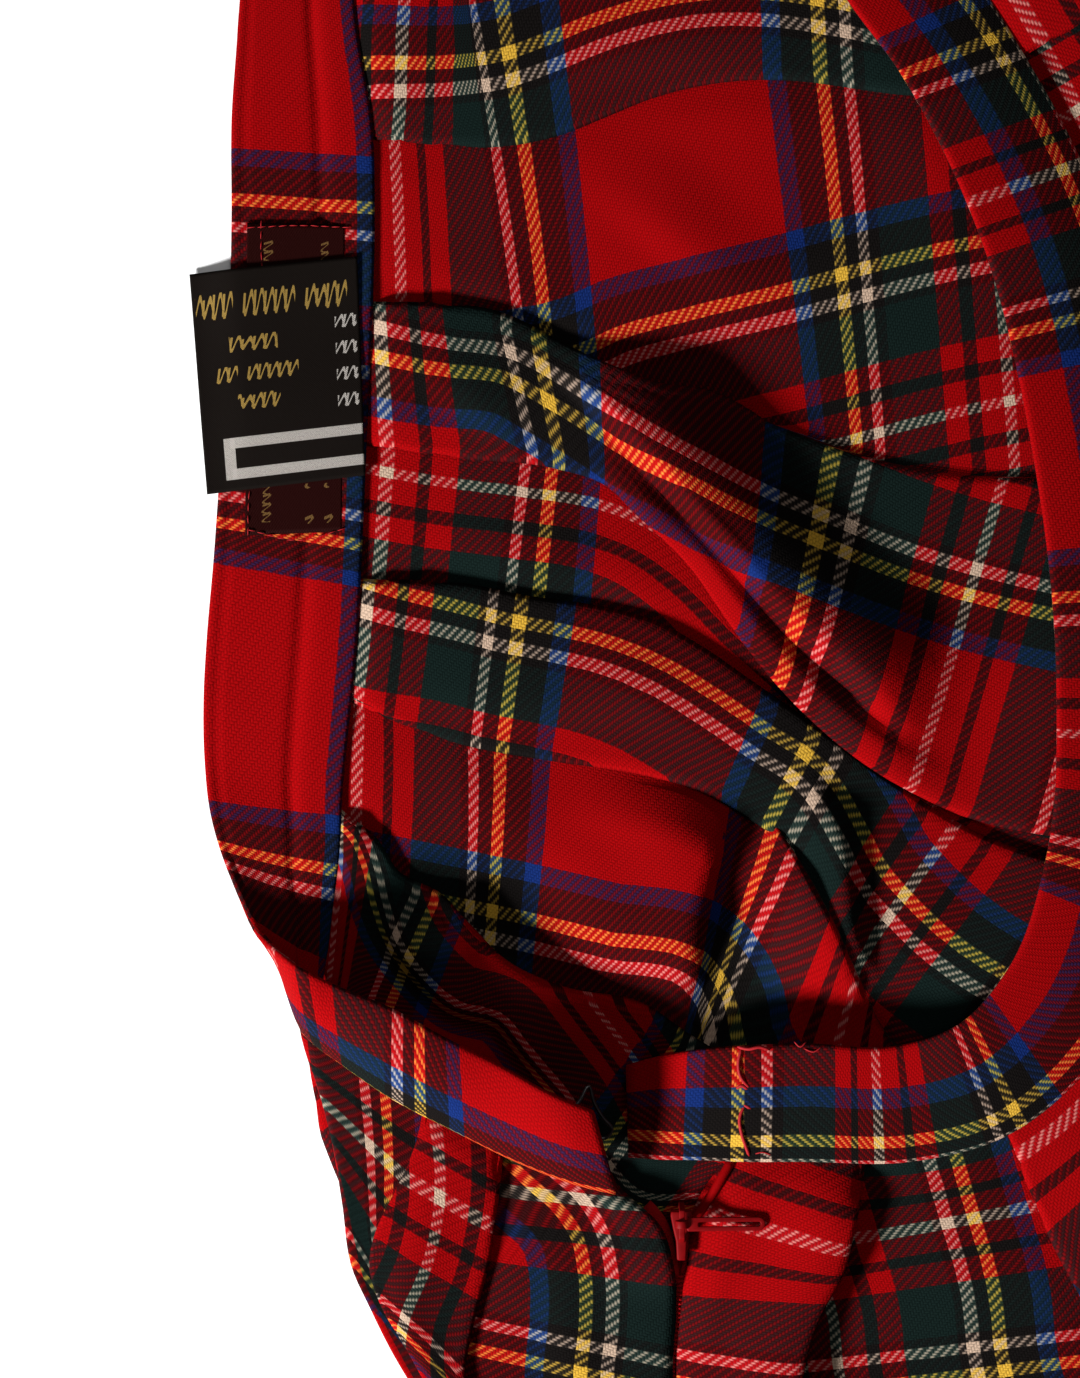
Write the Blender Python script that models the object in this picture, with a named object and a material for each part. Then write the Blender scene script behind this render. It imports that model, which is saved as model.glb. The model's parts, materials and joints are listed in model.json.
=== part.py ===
"""Pleated mini skirt of tartan wool, lying on a flat surface with its waist pulled open.

The back lies inner side up, the side folds turn over, and the front lies outer side up on top.
Sizes are millimetres until make_object turns them into metres. A place that was read from the
photograph is written in its pixels, and plan() turns it into millimetres.
"""

import bpy
import numpy as np

# Photograph frame
PIXELS_PER_MM = 4.7
PICTURE_MIDDLE = (540.0, 689.0)
# The middle of the whole skirt's box, measured from the picture's middle
ORIGIN = (205.765, -10.313)

# Driving dimensions
SKIRT_LENGTH = 353.0
CLOTH = 1.0
BAND_CLOTH = 2.0
SEAM_GAP = 0.4
BAND_GAP = 1.2
TURN_GAP = 0.9
PLEAT_RISE = 2.4
FRONT_LIFT = 5.4
SIDE_SEAM_GAP = 0.5
ZIP_LENGTH = 152.0
TAPE_WIDTH = 9.0
STATIONS = [0, 4, 10, 18, 28, 40, 54, 70, 87, 104, 124, 152, 185, 225, 270, 312, SKIRT_LENGTH]

RED = (0.50, 0.010, 0.018)
ZIP_RED = (0.55, 0.012, 0.020)
BLACK_SATIN = (0.012, 0.011, 0.012)
BROWN_WOVEN = (0.040, 0.014, 0.012)
DARK_METAL = (0.080, 0.075, 0.070)

# Waistband, from its hook end round to its underlap end: top edge, seam edge, and their heights
BAND_COLUMNS = ("top_x", "top_y", "seam_x", "seam_y", "top_z", "seam_z")
BAND_ROWS = [
    (592, 1100, 616, 1186, 15.0, 7.6),
    (560, 1087, 583, 1178, 17.0, 7.6),
    (500, 1055, 513, 1152, 19.0, 7.4),
    (450, 1030, 455, 1123, 20.0, 7.2),
    (395, 1000, 395, 1092, 20.0, 7.0),
    (335, 975, 345, 1058, 20.0, 6.4),
    (300, 957, 316, 1037, 19.0, 5.4),
    (283, 946, 303, 1024, 17.0, 4.2),
    (262, 930, 316, 1000, 13.0, 3.0),
    (240, 893, 327, 955, 8.0, 2.0),
    (222, 852, 334, 905, 4.0, 1.3),
    (211, 812, 340, 855, 2.0, 1.0),
    (205, 760, 343, 790, 1.0, 1.0),
    (204, 700, 350, 720, 1.0, 1.0),
    (207, 640, 357, 650, 1.0, 1.0),
    (214, 560, 362, 560, 1.0, 1.0),
    (219, 490, 365, 490, 1.0, 1.0),
    (225, 400, 369, 400, 1.0, 1.0),
    (230, 310, 373, 310, 1.0, 1.0),
    (232, 220, 375, 220, 1.0, 1.0),
    (232, 120, 372, 120, 1.0, 1.0),
    (238, 30, 358, 35, 1.0, 1.0),
    (241, -50, 349, -60, 1.2, 1.0),
    (232, -95, 341, -135, 2.0, 1.0),
    (222, -132, 334, -185, 4.0, 1.3),
    (240, -173, 327, -235, 8.0, 2.0),
    (262, -210, 316, -280, 13.0, 3.0),
    (283, -226, 303, -304, 16.0, 4.2),
    (300, -237, 316, -317, 17.0, 5.4),
    (335, -255, 345, -338, 17.0, 6.4),
    (446, -289, 474, -383, 16.0, 7.4),
    (563, -279, 596, -387, 15.0, 7.4),
    (681, -218, 737, -321, 14.0, 7.4),
    (775, -110, 864, -195, 13.0, 7.4),
    (841, 8, 944, -54, 12.0, 7.4),
    (892, 78, 1001, 31, 12.0, 7.4),
    (972, 242, 1090, 200, 13.0, 7.4),
    (1024, 454, 1146, 435, 13.0, 7.4),
    (1048, 689, 1170, 689, 13.0, 7.4),
    (1038, 854, 1156, 886, 13.0, 7.4),
    (1000, 965, 1090, 1056, 13.0, 7.4),
    (950, 1020, 998, 1133, 13.0, 7.4),
    (893, 1040, 907, 1157, 12.0, 7.4),
    (800, 1038, 800, 1157, 12.0, 7.4),
    (740, 1040, 740, 1157, 12.0, 7.2),
    (700, 1044, 696, 1156, 10.5, 6.6),
    (660, 1052, 656, 1156, 7.5, 5.6),
    (626, 1062, 628, 1154, 5.6, 5.2),
]

# Fold line of each pleat from the waist seam outwards, in picture pixels, in order round the skirt.
# overlap is how far the pleat's edge covers the next strip, opens is where the pleat lets go.
FOLD_COLUMNS = ("name", "overlap", "opens", "points")
LOWER_FRONT_FOLDS = [
    ("O3_O2", 5.0, 260, [(505, 1148), (498, 1180), (492, 1215), (485, 1250), (475, 1290), (466, 1330), (461, 1370),
                         (480, 1420), (560, 1540), (780, 1780), (1050, 2000), (1460, 2240)]),
    ("O2_O1", 2.5, 260, [(422, 1107), (421, 1130), (410, 1160), (396, 1190), (380, 1225), (374, 1262), (383, 1293),
                         (409, 1340), (430, 1378), (480, 1450), (590, 1590), (770, 1815), (985, 2030), (1330, 2280)]),
]
BACK_FOLDS = [
    ("O1_H", 7.0, 320, [(312, 1008), (345, 1090), (395, 1200), (480, 1320), (680, 1500), (1450, 2080)]),
    ("H_G", 7.0, 320, [(325, 965), (370, 1050), (450, 1150), (620, 1280), (900, 1450), (1620, 1850)]),
    ("G_F", 7.0, 320, [(343, 805), (385, 850), (400, 880), (440, 900), (470, 930), (500, 960), (560, 990),
                       (640, 1010), (685, 1040), (800, 1105), (1000, 1200), (1300, 1340), (1761, 1600)]),
    ("F_E", 7.0, 80, [(354, 700), (400, 718), (470, 738), (550, 752), (650, 768), (700, 783), (750, 815),
                      (790, 850), (825, 905), (860, 975), (895, 1035), (960, 1085), (1200, 1180), (1825, 1380)]),
    ("E_D", 7.0, 320, [(362, 580), (450, 590), (530, 605), (600, 615), (650, 628), (700, 655), (750, 690),
                       (800, 725), (895, 795), (960, 835), (1200, 900), (1990, 1040)]),
    ("D_C", 7.0, 320, [(367, 443), (450, 450), (560, 462), (600, 475), (640, 512), (690, 560), (730, 615),
                       (760, 655), (800, 700), (895, 775), (960, 805), (1200, 840), (1893, 870)]),
    ("C_B", 7.0, 72, [(373, 303), (450, 312), (500, 322), (575, 358), (620, 378), (660, 393), (700, 397),
                      (740, 410), (800, 440), (895, 470), (1200, 478), (2004, 470)]),
    ("B_A", 7.0, 320, [(373, 137), (450, 140), (520, 137), (560, 128), (600, 112), (650, 92), (700, 80),
                       (750, 75), (800, 76), (895, 88), (1200, 80), (2023, 49)]),
    ("A_Z", 7.0, 240, [(351, -20), (446, -35), (681, -72), (1010, -119), (1480, -195), (1988, -275)]),
    ("Z_Y", 7.0, 200, [(343, -130), (540, -195), (822, -265), (1245, -359), (1621, -439), (1974, -514)]),
    ("Y_X", 7.0, 320, [(330, -222), (446, -322), (681, -416), (963, -495), (1386, -604), (1880, -735)]),
]
# Outline of the two side folds, from the waist seam to the hem
LOWER_SIDE = [(303, 1024), (307, 1045), (325, 1100), (335, 1140), (345, 1200), (355, 1265), (371, 1300),
              (396, 1350), (414, 1380), (465, 1450), (563, 1582), (704, 1817), (916, 2052), (1245, 2310)]
UPPER_SIDE = [(303, -304), (311, -338), (350, -402), (446, -468), (681, -556), (963, -634), (1386, -738), (1850, -862)]
# Middle line of the zip, and half the width between the two panel edges beside it
ZIP_LINE = [(672, 1165), (676, 1205), (679, 1240), (680, 1300), (681, 1370), (737, 1558), (916, 1746),
            (1174, 1920), (1503, 2052), (1832, 2146)]
ZIP_HALF_WIDTHS = [(0, 12.0), (4, 9.6), (8, 5.6), (12, 3.4), (20, 2.7), (30, 1.8), (45, 1.5), (ZIP_LENGTH, 1.5), (170, 0.3)]
# Lines that the front's hidden pleats are spread between, from the upper side fold to the zip
FRONT_LINES = [
    [(728, -321), (869, -439), (1151, -557), (1597, -683), (2255, -838)],
    [(916, -119), (1057, -251), (1339, -383), (1785, -510), (2420, -650)],
    [(1048, 102), (1221, -7), (1527, -110), (1997, -204), (2617, -322)],
    [(1137, 384), (1339, 336), (1668, 303), (2138, 275), (2787, 257)],
    [(1174, 689), (1386, 689), (1715, 712), (2185, 727), (2834, 727)],
    [(1142, 971), (1292, 1074), (1480, 1145), (1762, 1206), (2749, 1347)],
    [(1029, 1145), (1080, 1235), (1200, 1380), (1500, 1510), (1900, 1640), (2443, 1798)],
    [(860, 1158), (845, 1220), (830, 1265), (808, 1310), (793, 1370), (822, 1498), (987, 1652), (1245, 1779),
     (1574, 1888), (2044, 1982)],
]
FRONT_FOLDS = 16
FRONT_OVERLAP = 6.0
# Name, columns across it and layer of each strip between two folds
BACK_STRIPS = [("O3", 3), ("O2", 3), ("O1", 2), ("H", 2), ("G", 4), ("F", 8), ("E", 6), ("D", 4), ("C", 8),
               ("B", 6), ("A", 4), ("Z", 2), ("Y", 2), ("X", 2)]

# Large soft folds of the cloth: strip, height, width of the slow side and of the steep side, which
# side of the line is slow, how long each end fades, and the crest line in picture pixels
RELIEF_COLUMNS = ("strip", "height", "slow", "steep", "slow_side", "fade", "points")
RELIEF_ROWS = [
    ("C", 11.0, 26.0, 4.0, "left", 30.0, [(545, 362), (600, 400), (640, 445), (680, 490), (730, 545), (760, 580),
                                          (800, 625), (850, 670), (895, 715), (950, 755)]),
    ("C", 5.0, 9.0, 5.0, "left", 20.0, [(590, 462), (640, 506), (694, 552), (737, 608), (768, 648), (806, 690),
                                        (900, 765), (960, 795)]),
    ("F", 8.0, 42.0, 4.0, "right", 14.0, [(752, 800), (722, 835), (704, 870), (695, 910), (690, 960), (684, 1015)]),
    ("F", 8.5, 20.0, 5.0, "right", 24.0, [(735, 806), (790, 850), (825, 905), (860, 975), (892, 1030)]),
    ("E", 5.0, 20.0, 4.0, "right", 14.0, [(806, 775), (832, 820), (842, 880), (848, 930), (875, 990)]),
    ("G", 6.0, 14.0, 5.0, "right", 16.0, [(372, 836), (400, 880), (440, 900), (500, 960), (560, 990), (625, 1006)]),
]

# Labels at the centre back: four corners in picture pixels, from the top left clockwise
CARE_LABEL = [(190, 275), (358, 258), (366, 476), (208, 495)]
WOVEN_LABEL = [(248, 224), (345, 226), (342, 532), (246, 536)]
LABEL_CLOTH = 1.0
LABEL_GAP = 0.3

# Zip slider and its pull tab
SLIDER_MIDDLE = (680, 1230)
SLIDER_SIZE = (5.0, 10.4, 3.4)
BRIDGE_WIDTH = 1.2
BAR_THICKNESS = 0.9
BAR_Y_PIXEL = 1217
BAR_HEIGHT = 11.4
PULL_LENGTH = 17.4
PULL_WIDTH = 2.6
PULL_THICKNESS = 1.0
PULL_NECK_ANGLE = 20.0
EYE_RADIUS = 1.5
EYE_HOLE = 0.85
PULL_DROP = 1.2

# Wire hook under the end of the waistband
HOOK_WIRE = 1.0
HOOK_POINTS = [(566, 1106, 12.4), (578, 1096, 12.2), (588, 1080, 12.0), (593, 1096, 11.4), (602, 1112, 10.8),
               (611, 1124, 10.0), (604, 1133, 9.4), (592, 1128, 10.0), (580, 1122, 10.6)]


def plan(points):
    """Picture pixels as millimetres from the picture's middle."""
    points = np.asarray(points, float)
    x = (points[..., 0] - PICTURE_MIDDLE[0]) / PIXELS_PER_MM
    y = (PICTURE_MIDDLE[1] - points[..., 1]) / PIXELS_PER_MM
    return np.stack([x, y], -1)


def smooth(t):
    t = np.clip(t, 0.0, 1.0)
    return t * t * (3 - 2 * t)


def unit(vectors):
    return vectors / np.maximum(np.linalg.norm(vectors, axis=-1, keepdims=True), 1e-9)


def curve(points, cuts=10):
    """A smooth curve through the points: its running length, and its points."""
    p = np.asarray(points, float)
    h = np.linalg.norm(np.diff(p[:, :2], axis=0), axis=1)[:, None]
    slope = np.diff(p, axis=0) / h
    middle = (slope[:-1] * h[1:] + slope[1:] * h[:-1]) / (h[1:] + h[:-1])
    m = np.vstack([slope[:1], middle, slope[-1:]])
    t = np.linspace(0, 1, cuts, endpoint=False)[None, :, None]
    a, b, ma, mb, h = (v[:, None] for v in (p[:-1], p[1:], m[:-1] * h, m[1:] * h, h))
    line = (1 + 2 * t) * (1 - t) ** 2 * a + t * (1 - t) ** 2 * ma + t * t * (3 - 2 * t) * b + t * t * (t - 1) * mb
    line = np.vstack([line.reshape(-1, p.shape[1]), p[-1:]])
    run = np.r_[0, np.cumsum(np.linalg.norm(np.diff(line[:, :2], axis=0), axis=1))]
    return run, line


def at(path, lengths):
    """Points of a curve at these lengths along it. It runs straight on past its end."""
    run, line = path
    lengths = np.asarray(lengths, float)
    inside = np.stack([np.interp(lengths, run, line[:, k]) for k in range(line.shape[1])], -1)
    return inside + np.maximum(lengths - run[-1], 0)[..., None] * unit(line[-1] - line[-2])


def length_at(path, point):
    """Where along a curve its plan comes nearest to a point."""
    run, line = path
    return run[np.argmin(np.linalg.norm(line[:, :2] - np.asarray(point), axis=1))]


def beside(path, points):
    """Distance of each point to a curve, positive on its left, and the length along it there."""
    run, line = path
    flat = points.reshape(-1, 2)
    nearest = np.argmin(((flat[:, None] - line[None]) ** 2).sum(-1), axis=1)
    along = unit(np.gradient(line, axis=0))[nearest]
    away = flat - line[nearest]
    side = along[:, 0] * away[:, 1] - along[:, 1] * away[:, 0]
    distance = np.linalg.norm(away, axis=1) * np.where(side >= 0, 1, -1)
    return distance.reshape(points.shape[:-1]), run[nearest].reshape(points.shape[:-1])


def relief(strip, points):
    """Height that the large soft folds add to a strip at these plan points."""
    height = np.zeros(points.shape[:-1])
    for row in RELIEF_ROWS:
        fold = dict(zip(RELIEF_COLUMNS, row))
        if fold["strip"] != strip:
            continue
        path = curve(plan(fold["points"]))
        distance, run = beside(path, points)
        if fold["slow_side"] == "right":
            distance = -distance
        width = np.where(distance >= 0, fold["slow"], fold["steep"])
        ends = np.minimum(run, path[0][-1] - run) / fold["fade"]
        height += fold["height"] * smooth(ends) * (1 - smooth(np.abs(distance) / width))
    return height


def band_edges():
    """The waistband's top edge and seam edge as curves with heights, matched row by row."""
    rows = [dict(zip(BAND_COLUMNS, row)) for row in BAND_ROWS]
    edges = []
    for side in ("top", "seam"):
        places = plan([(row[side + "_x"], row[side + "_y"]) for row in rows])
        heights = np.array([[row[side + "_z"]] for row in rows])
        edges.append(np.hstack([places, heights]))
    return edges


TOP_ROWS, SEAM_ROWS = band_edges()
SEAM = curve(SEAM_ROWS)
ROW_RUNS = np.array([length_at(SEAM, row[:2]) for row in SEAM_ROWS])
TOP = curve(np.hstack([TOP_ROWS, ROW_RUNS[:, None]]))[1]
V = np.array(STATIONS, float)


def seam_middle(lengths):
    return at(SEAM, lengths)


def band_top(lengths):
    """The waistband's top edge opposite these lengths along its seam edge."""
    return np.stack([np.interp(lengths, TOP[:, 3], TOP[:, k]) for k in range(3)], -1)


def fold_line(points):
    """One fold's plan place at each station, and where it starts on the waist seam."""
    path = curve(plan(points))
    start = length_at(SEAM, plan(points[0]))
    line = at(path, V)
    shift = seam_middle(start)[:2] - line[0]
    return line + shift * (1 - smooth(V / 40))[:, None], start


def zip_edge(side):
    """The panel edge beside the zip: side is 1 for the left panel and -1 for the right one."""
    middle = at(curve(plan(ZIP_LINE)), V)
    along = unit(np.gradient(middle, V, axis=0))
    away = np.stack([along[:, 1], -along[:, 0]], -1)
    half = np.interp(V, *zip(*ZIP_HALF_WIDTHS))
    return middle + side * half[:, None] * away


def front_fold_lines():
    """The front's fold lines from the upper side fold to the zip, spread between FRONT_LINES."""
    upper = at(curve(plan(UPPER_SIDE)), V)
    guides = [upper] + [at(curve(plan(points)), V) for points in FRONT_LINES]
    starts = [length_at(SEAM, plan(UPPER_SIDE[0]))] + [length_at(SEAM, plan(p[0])) for p in FRONT_LINES]
    first, last = starts[0] + 20.0, starts[-1]
    lines = []
    for start in np.linspace(first, last, FRONT_FOLDS):
        k = min(int(np.searchsorted(starts, start, side="right")) - 1, len(starts) - 2)
        share = (start - starts[k]) / (starts[k + 1] - starts[k])
        blend = (1 - share) * guides[k] + share * guides[k + 1]
        run = np.r_[0, np.cumsum(np.linalg.norm(np.diff(blend, axis=0), axis=1))]
        line = at((run, blend), V)
        shift = seam_middle(start)[:2] - line[0]
        lines.append((line + shift * (1 - smooth(V / 60))[:, None], start))
    return lines


class Fold:
    """One pleat's edge: its plan line, its place on the waist seam and how far it covers its neighbour."""

    def __init__(self, name, line, start, overlap, opens):
        self.name = name
        self.line = line
        self.start = start
        self.overlap = overlap + (-3.0 - overlap) * smooth((V - opens) / 26)


class Strip:
    """The cloth between two folds, with its outer side high or low."""

    def __init__(self, name, across, outer_high, turn=None):
        self.name = name
        self.across = across
        self.outer_high = outer_high
        self.turn = turn


def skirt_layout():
    """Every fold and strip in order, from the zip's left edge right round to its right edge."""
    lower = [Fold(name, *fold_line(points), overlap, opens) for name, overlap, opens, points in LOWER_FRONT_FOLDS]
    back = [Fold(name, *fold_line(points), overlap, opens) for name, overlap, opens, points in BACK_FOLDS]
    front = [
        Fold(f"front_{k}", line, start, FRONT_OVERLAP, 190 + 45 * np.sin(1.7 * k))
        for k, (line, start) in enumerate(front_fold_lines())
    ]
    strips = [Strip(name, across, k % 2 == 1) for k, (name, across) in enumerate(BACK_STRIPS)]
    strips[2].turn = LOWER_SIDE
    strips[-1].turn = UPPER_SIDE
    count = len(strips)
    strips += [Strip(f"front_{k}", 2, (count + k) % 2 == 1) for k in range(FRONT_FOLDS)]
    strips[-1].across = 4
    left = Fold("zip_left", zip_edge(1), 0.0, 0.0, 999)
    right_start = length_at(SEAM, plan((728, 1157)))
    right = Fold("zip_right", zip_edge(-1), right_start, 0.0, 999)
    return [left] + lower + back + front + [right], strips


FOLDS, STRIPS = skirt_layout()


def back_hem():
    """The back layer's hem as an angle and a distance from a point inside the waist."""
    hem = np.array([fold.line[-1] for fold in FOLDS[3:14]])
    ends = [at(curve(plan(side)), SKIRT_LENGTH)[None] for side in (LOWER_SIDE, UPPER_SIDE)]
    away = np.vstack([ends[0], hem, ends[1]]) - HEM_POLE
    return np.arctan2(away[:, 1], away[:, 0]), np.linalg.norm(away, axis=1)


HEM_POLE = np.array([-60.0, 60.0])
HEM_ANGLES, HEM_DISTANCES = back_hem()


def front_base(points):
    """Height of the layer under the front: the back layer's top, down to the surface beyond its hem."""
    away = points - HEM_POLE
    reach = np.interp(np.arctan2(away[..., 1], away[..., 0]), HEM_ANGLES, HEM_DISTANCES)
    beyond = np.linalg.norm(away, axis=-1) - reach
    return FRONT_LIFT * (1 - smooth((beyond - 27.0) / 30.0))


def level(points, front, high):
    """Height of the wall's middle on a strip."""
    base = np.full(points.shape[:-1], CLOTH / 2 + (PLEAT_RISE if high else 0.0))
    return base + (front_base(points) if front else 0.0)


def strip_edge(index, end, front):
    """Plan line and waist place of a strip's edge. A low strip reaches under its neighbour."""
    strip = STRIPS[index]
    fold = FOLDS[index + end]
    high = strip.outer_high == front
    if high or fold.name.startswith("zip"):
        return fold.line, fold.start
    neighbour = STRIPS[index + (1 if end else -1)]
    other = FOLDS[index + (2 if end else -1)].line
    if neighbour.turn is not None:
        other = at(curve(plan(neighbour.turn)), V)
    toward = unit(other - fold.line)
    sign = 1 if end else -1
    return fold.line + fold.overlap[:, None] * toward, fold.start + sign * fold.overlap[0]


def low_strip_clear(index, distance_start, distance_end):
    """How much a low strip may rise: nothing where its neighbours' edges lie over it."""
    clear = 1.0
    for fold, distance in ((FOLDS[index], distance_start), (FOLDS[index + 1], distance_end)):
        covered = smooth(fold.overlap / 4.0)
        visible = smooth((distance - fold.overlap - 1.0) / 8.0)
        clear = clear * (1 - covered * (1 - visible))
    return clear


def plain_columns(index, front):
    """Columns of a strip that lies in one layer: plan lines, heights and waist places."""
    strip = STRIPS[index]
    a, start_a = strip_edge(index, 0, front)
    b, start_b = strip_edge(index, 1, front)
    share = np.linspace(0, 1, strip.across + 2)
    lines = (1 - share)[:, None, None] * a + share[:, None, None] * b
    starts = (1 - share) * start_a + share * start_b
    high = strip.outer_high == front
    heights = level(lines, front, high)
    rise = relief(strip.name, lines)
    if high:
        crown = (0.5 + 4.0 * (V / SKIRT_LENGTH) ** 1.3) if front else 0.4 + 0 * V
        rise = rise + crown[None] * (4 * share * (1 - share))[:, None]
    else:
        span = np.linalg.norm(b - a, axis=1)
        rise = rise * low_strip_clear(index, share[:, None] * span, (1 - share)[:, None] * span)
    heights = heights + rise
    if index == len(STRIPS) - 1:
        drop = (level(lines, front, True) - level(lines, front, False)) * (1 - smooth((1 - share)[:, None] * 4))
        heights = heights - drop
    return lines, heights, starts


def turn_columns(index, from_front):
    """Columns of the strip that goes round a side fold, from one layer to the other."""
    strip = STRIPS[index]
    silhouette = at(curve(plan(strip.turn)), V)
    middle = length_at(SEAM, plan(strip.turn[0]))
    lines, heights, starts = [], [], []
    arms = []
    for end, front in ((0, from_front), (1, not from_front)):
        edge, start = strip_edge(index, end, front)
        high = strip.outer_high == front
        arms.append((edge, start, level(edge, front, high), level(silhouette, front, high)))
    upper = np.maximum(arms[0][3], arms[1][3])
    radius = np.abs(arms[0][3] - arms[1][3]) / 2
    for end, (edge, start, edge_z, fold_z) in enumerate(arms):
        toward = unit(edge - silhouette)
        inner = silhouette + radius[:, None] * toward
        inner_start = middle + (start - middle) * 0.12
        shares = np.linspace(0, 1, strip.across + 2)[:-1]
        arm = [(edge + (inner - edge) * s, edge_z + (fold_z - edge_z) * s, start + (inner_start - start) * s)
               for s in shares]
        sign = np.where(fold_z >= upper - 1e-9, 1, -1)
        for angle in (90, 45):
            turn = np.radians(angle)
            place = silhouette + (radius * (1 - np.cos(turn)))[:, None] * toward
            height = upper - radius + sign * radius * np.sin(turn)
            arm.append((place, height, middle + (inner_start - middle) * (angle / 90)))
        arms[end] = arm
    order = arms[0] + [(silhouette, upper - radius, middle)] + arms[1][::-1]
    lines = np.array([c[0] for c in order])
    heights = np.array([c[1] for c in order])
    starts = np.array([c[2] for c in order])
    return lines, heights, starts


def skirt_columns(first, last):
    """Middle surface of the strips from first to last, and the places of its columns on the waist seam."""
    lines, heights, starts = [], [], []
    for index in range(first, last):
        if STRIPS[index].turn is not None:
            part = turn_columns(index, from_front=index < 5)
        else:
            part = plain_columns(index, front=index < 2 or index > 13)
        for gathered, values in zip((lines, heights, starts), part):
            gathered.append(values)
    lines, heights, starts = (np.concatenate(v) for v in (lines, heights, starts))
    held = 1 - smooth(V / 24)
    seam = seam_middle(starts)
    away = unit(seam[:, :2] - band_top(starts)[:, :2])
    start_line = seam[:, :2] + SEAM_GAP * away
    lines = lines + (start_line - lines[:, 0])[:, None] * held[None, :, None]
    return np.concatenate([lines, heights[..., None]], -1), starts


def wall(middle, thickness):
    """Outer and inner points of a wall on this middle surface, whose rows go round and columns go out."""
    half = thickness / 2
    outward = unit(np.gradient(middle, axis=1))
    along = np.diff(middle, axis=0)
    normals = unit(np.cross(along, (outward[1:] + outward[:-1]) / 2))
    before = np.concatenate([normals[:1], normals])
    after = np.concatenate([normals, normals[-1:]])
    together = (before * after).sum(-1, keepdims=True)
    miter = (before + after) / np.maximum(1 + together, 0.045)
    size = np.linalg.norm(miter, axis=-1, keepdims=True)
    capped = miter * np.minimum(1.0, 1.35 / np.maximum(size, 1e-9))
    bend = (np.cross(before, after) * outward).sum(-1, keepdims=True)
    return middle + half * np.where(bend > 0, capped, miter), middle - half * np.where(bend < 0, capped, miter)


def closed_faces(rows, columns):
    """Faces of a closed wall whose outer points come first and inner points second."""
    def face_loop(base, cells, turned):
        faces = []
        for i, j in cells:
            ring = [(i, j), (i + 1, j), (i + 1, j + 1), (i, j + 1)]
            ring = [base + a * columns + b for a, b in ring]
            faces.append(ring[::-1] if turned else ring)
        return faces

    cells = [(i, j) for i in range(rows - 1) for j in range(columns - 1)]
    inner = rows * columns
    faces = face_loop(0, cells, False) + face_loop(inner, cells, True)
    for i in range(rows - 1):
        for j, turned in ((0, False), (columns - 1, True)):
            a, b = i * columns + j, (i + 1) * columns + j
            ring = [a, a + inner, b + inner, b]
            faces.append(ring[::-1] if turned else ring)
    for j in range(columns - 1):
        for i, turned in ((0, True), (rows - 1, False)):
            a, b = i * columns + j, i * columns + j + 1
            ring = [a, a + inner, b + inner, b]
            faces.append(ring[::-1] if turned else ring)
    return faces


def material(name, colour, roughness, metallic=0.0):
    made = bpy.data.materials.new(name)
    made.use_nodes = True
    shader = made.node_tree.nodes["Principled BSDF"]
    shader.inputs["Base Color"].default_value = (*colour, 1)
    shader.inputs["Roughness"].default_value = roughness
    shader.inputs["Metallic"].default_value = metallic
    return made


def make_object(name, points, faces, finish, pivot=(0.0, 0.0, 0.0), smooth_faces=True):
    """One closed mesh object in metres, with its origin at the pivot."""
    placed = np.asarray(points, float).reshape(-1, 3) - (*ORIGIN, 0.0)
    pivot = np.asarray(pivot, float)
    mesh = bpy.data.meshes.new(name)
    mesh.from_pydata(((placed - pivot) / 1000).tolist(), [], faces)
    mesh.materials.append(finish)
    if smooth_faces:
        mesh.shade_smooth()
    piece = bpy.data.objects.new(name, mesh)
    piece.location = pivot / 1000
    bpy.context.scene.collection.objects.link(piece)
    return piece


def make_wall(name, middle, thickness, finish):
    outer, inner = wall(middle, thickness)
    points = np.concatenate([outer.reshape(-1, 3), inner.reshape(-1, 3)])
    points[:, 2] = np.maximum(points[:, 2], 0.0)
    return make_object(name, points, closed_faces(*middle.shape[:2]), finish)


def make_skirt(cloth):
    """The back panel, which wraps round the lower side to the zip, and the front panel."""
    middle, starts = skirt_columns(0, len(STRIPS))
    seam_at = skirt_columns(0, len(BACK_STRIPS))[0].shape[0] - 3
    back, front = middle[: seam_at + 1], middle[seam_at:].copy()
    step = unit(front[1] - front[0])
    front[0] += SIDE_SEAM_GAP * step
    make_wall("back_panel", back, CLOTH, cloth)
    make_wall("front_panel", front, CLOTH, cloth)
    return starts


def make_waistband(starts, cloth):
    """The waistband as one strip with the skirt's own columns along its seam edge."""
    end = SEAM[0][-1]
    places = np.unique(np.round(np.r_[np.clip(starts, 0, end), np.linspace(starts.max(), end, 6)], 1))
    keep = [places[0]]
    for place in places[1:]:
        if place - keep[-1] > 1.5:
            keep.append(place)
    keep[-1] = end
    top, seam = band_top(keep), seam_middle(keep)
    turning = 1 - smooth(np.abs(seam[:, 2:] - 5.0) / 2.0)
    seam = seam - (BAND_GAP + TURN_GAP * turning) * unit(seam - top)
    share = np.linspace(0, 1, 3)[None, :, None]
    middle = (1 - share) * top[:, None] + share * seam[:, None]
    middle[..., 2] = np.maximum(middle[..., 2], BAND_CLOTH / 2)
    make_wall("waistband", middle, BAND_CLOTH, cloth)


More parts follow.
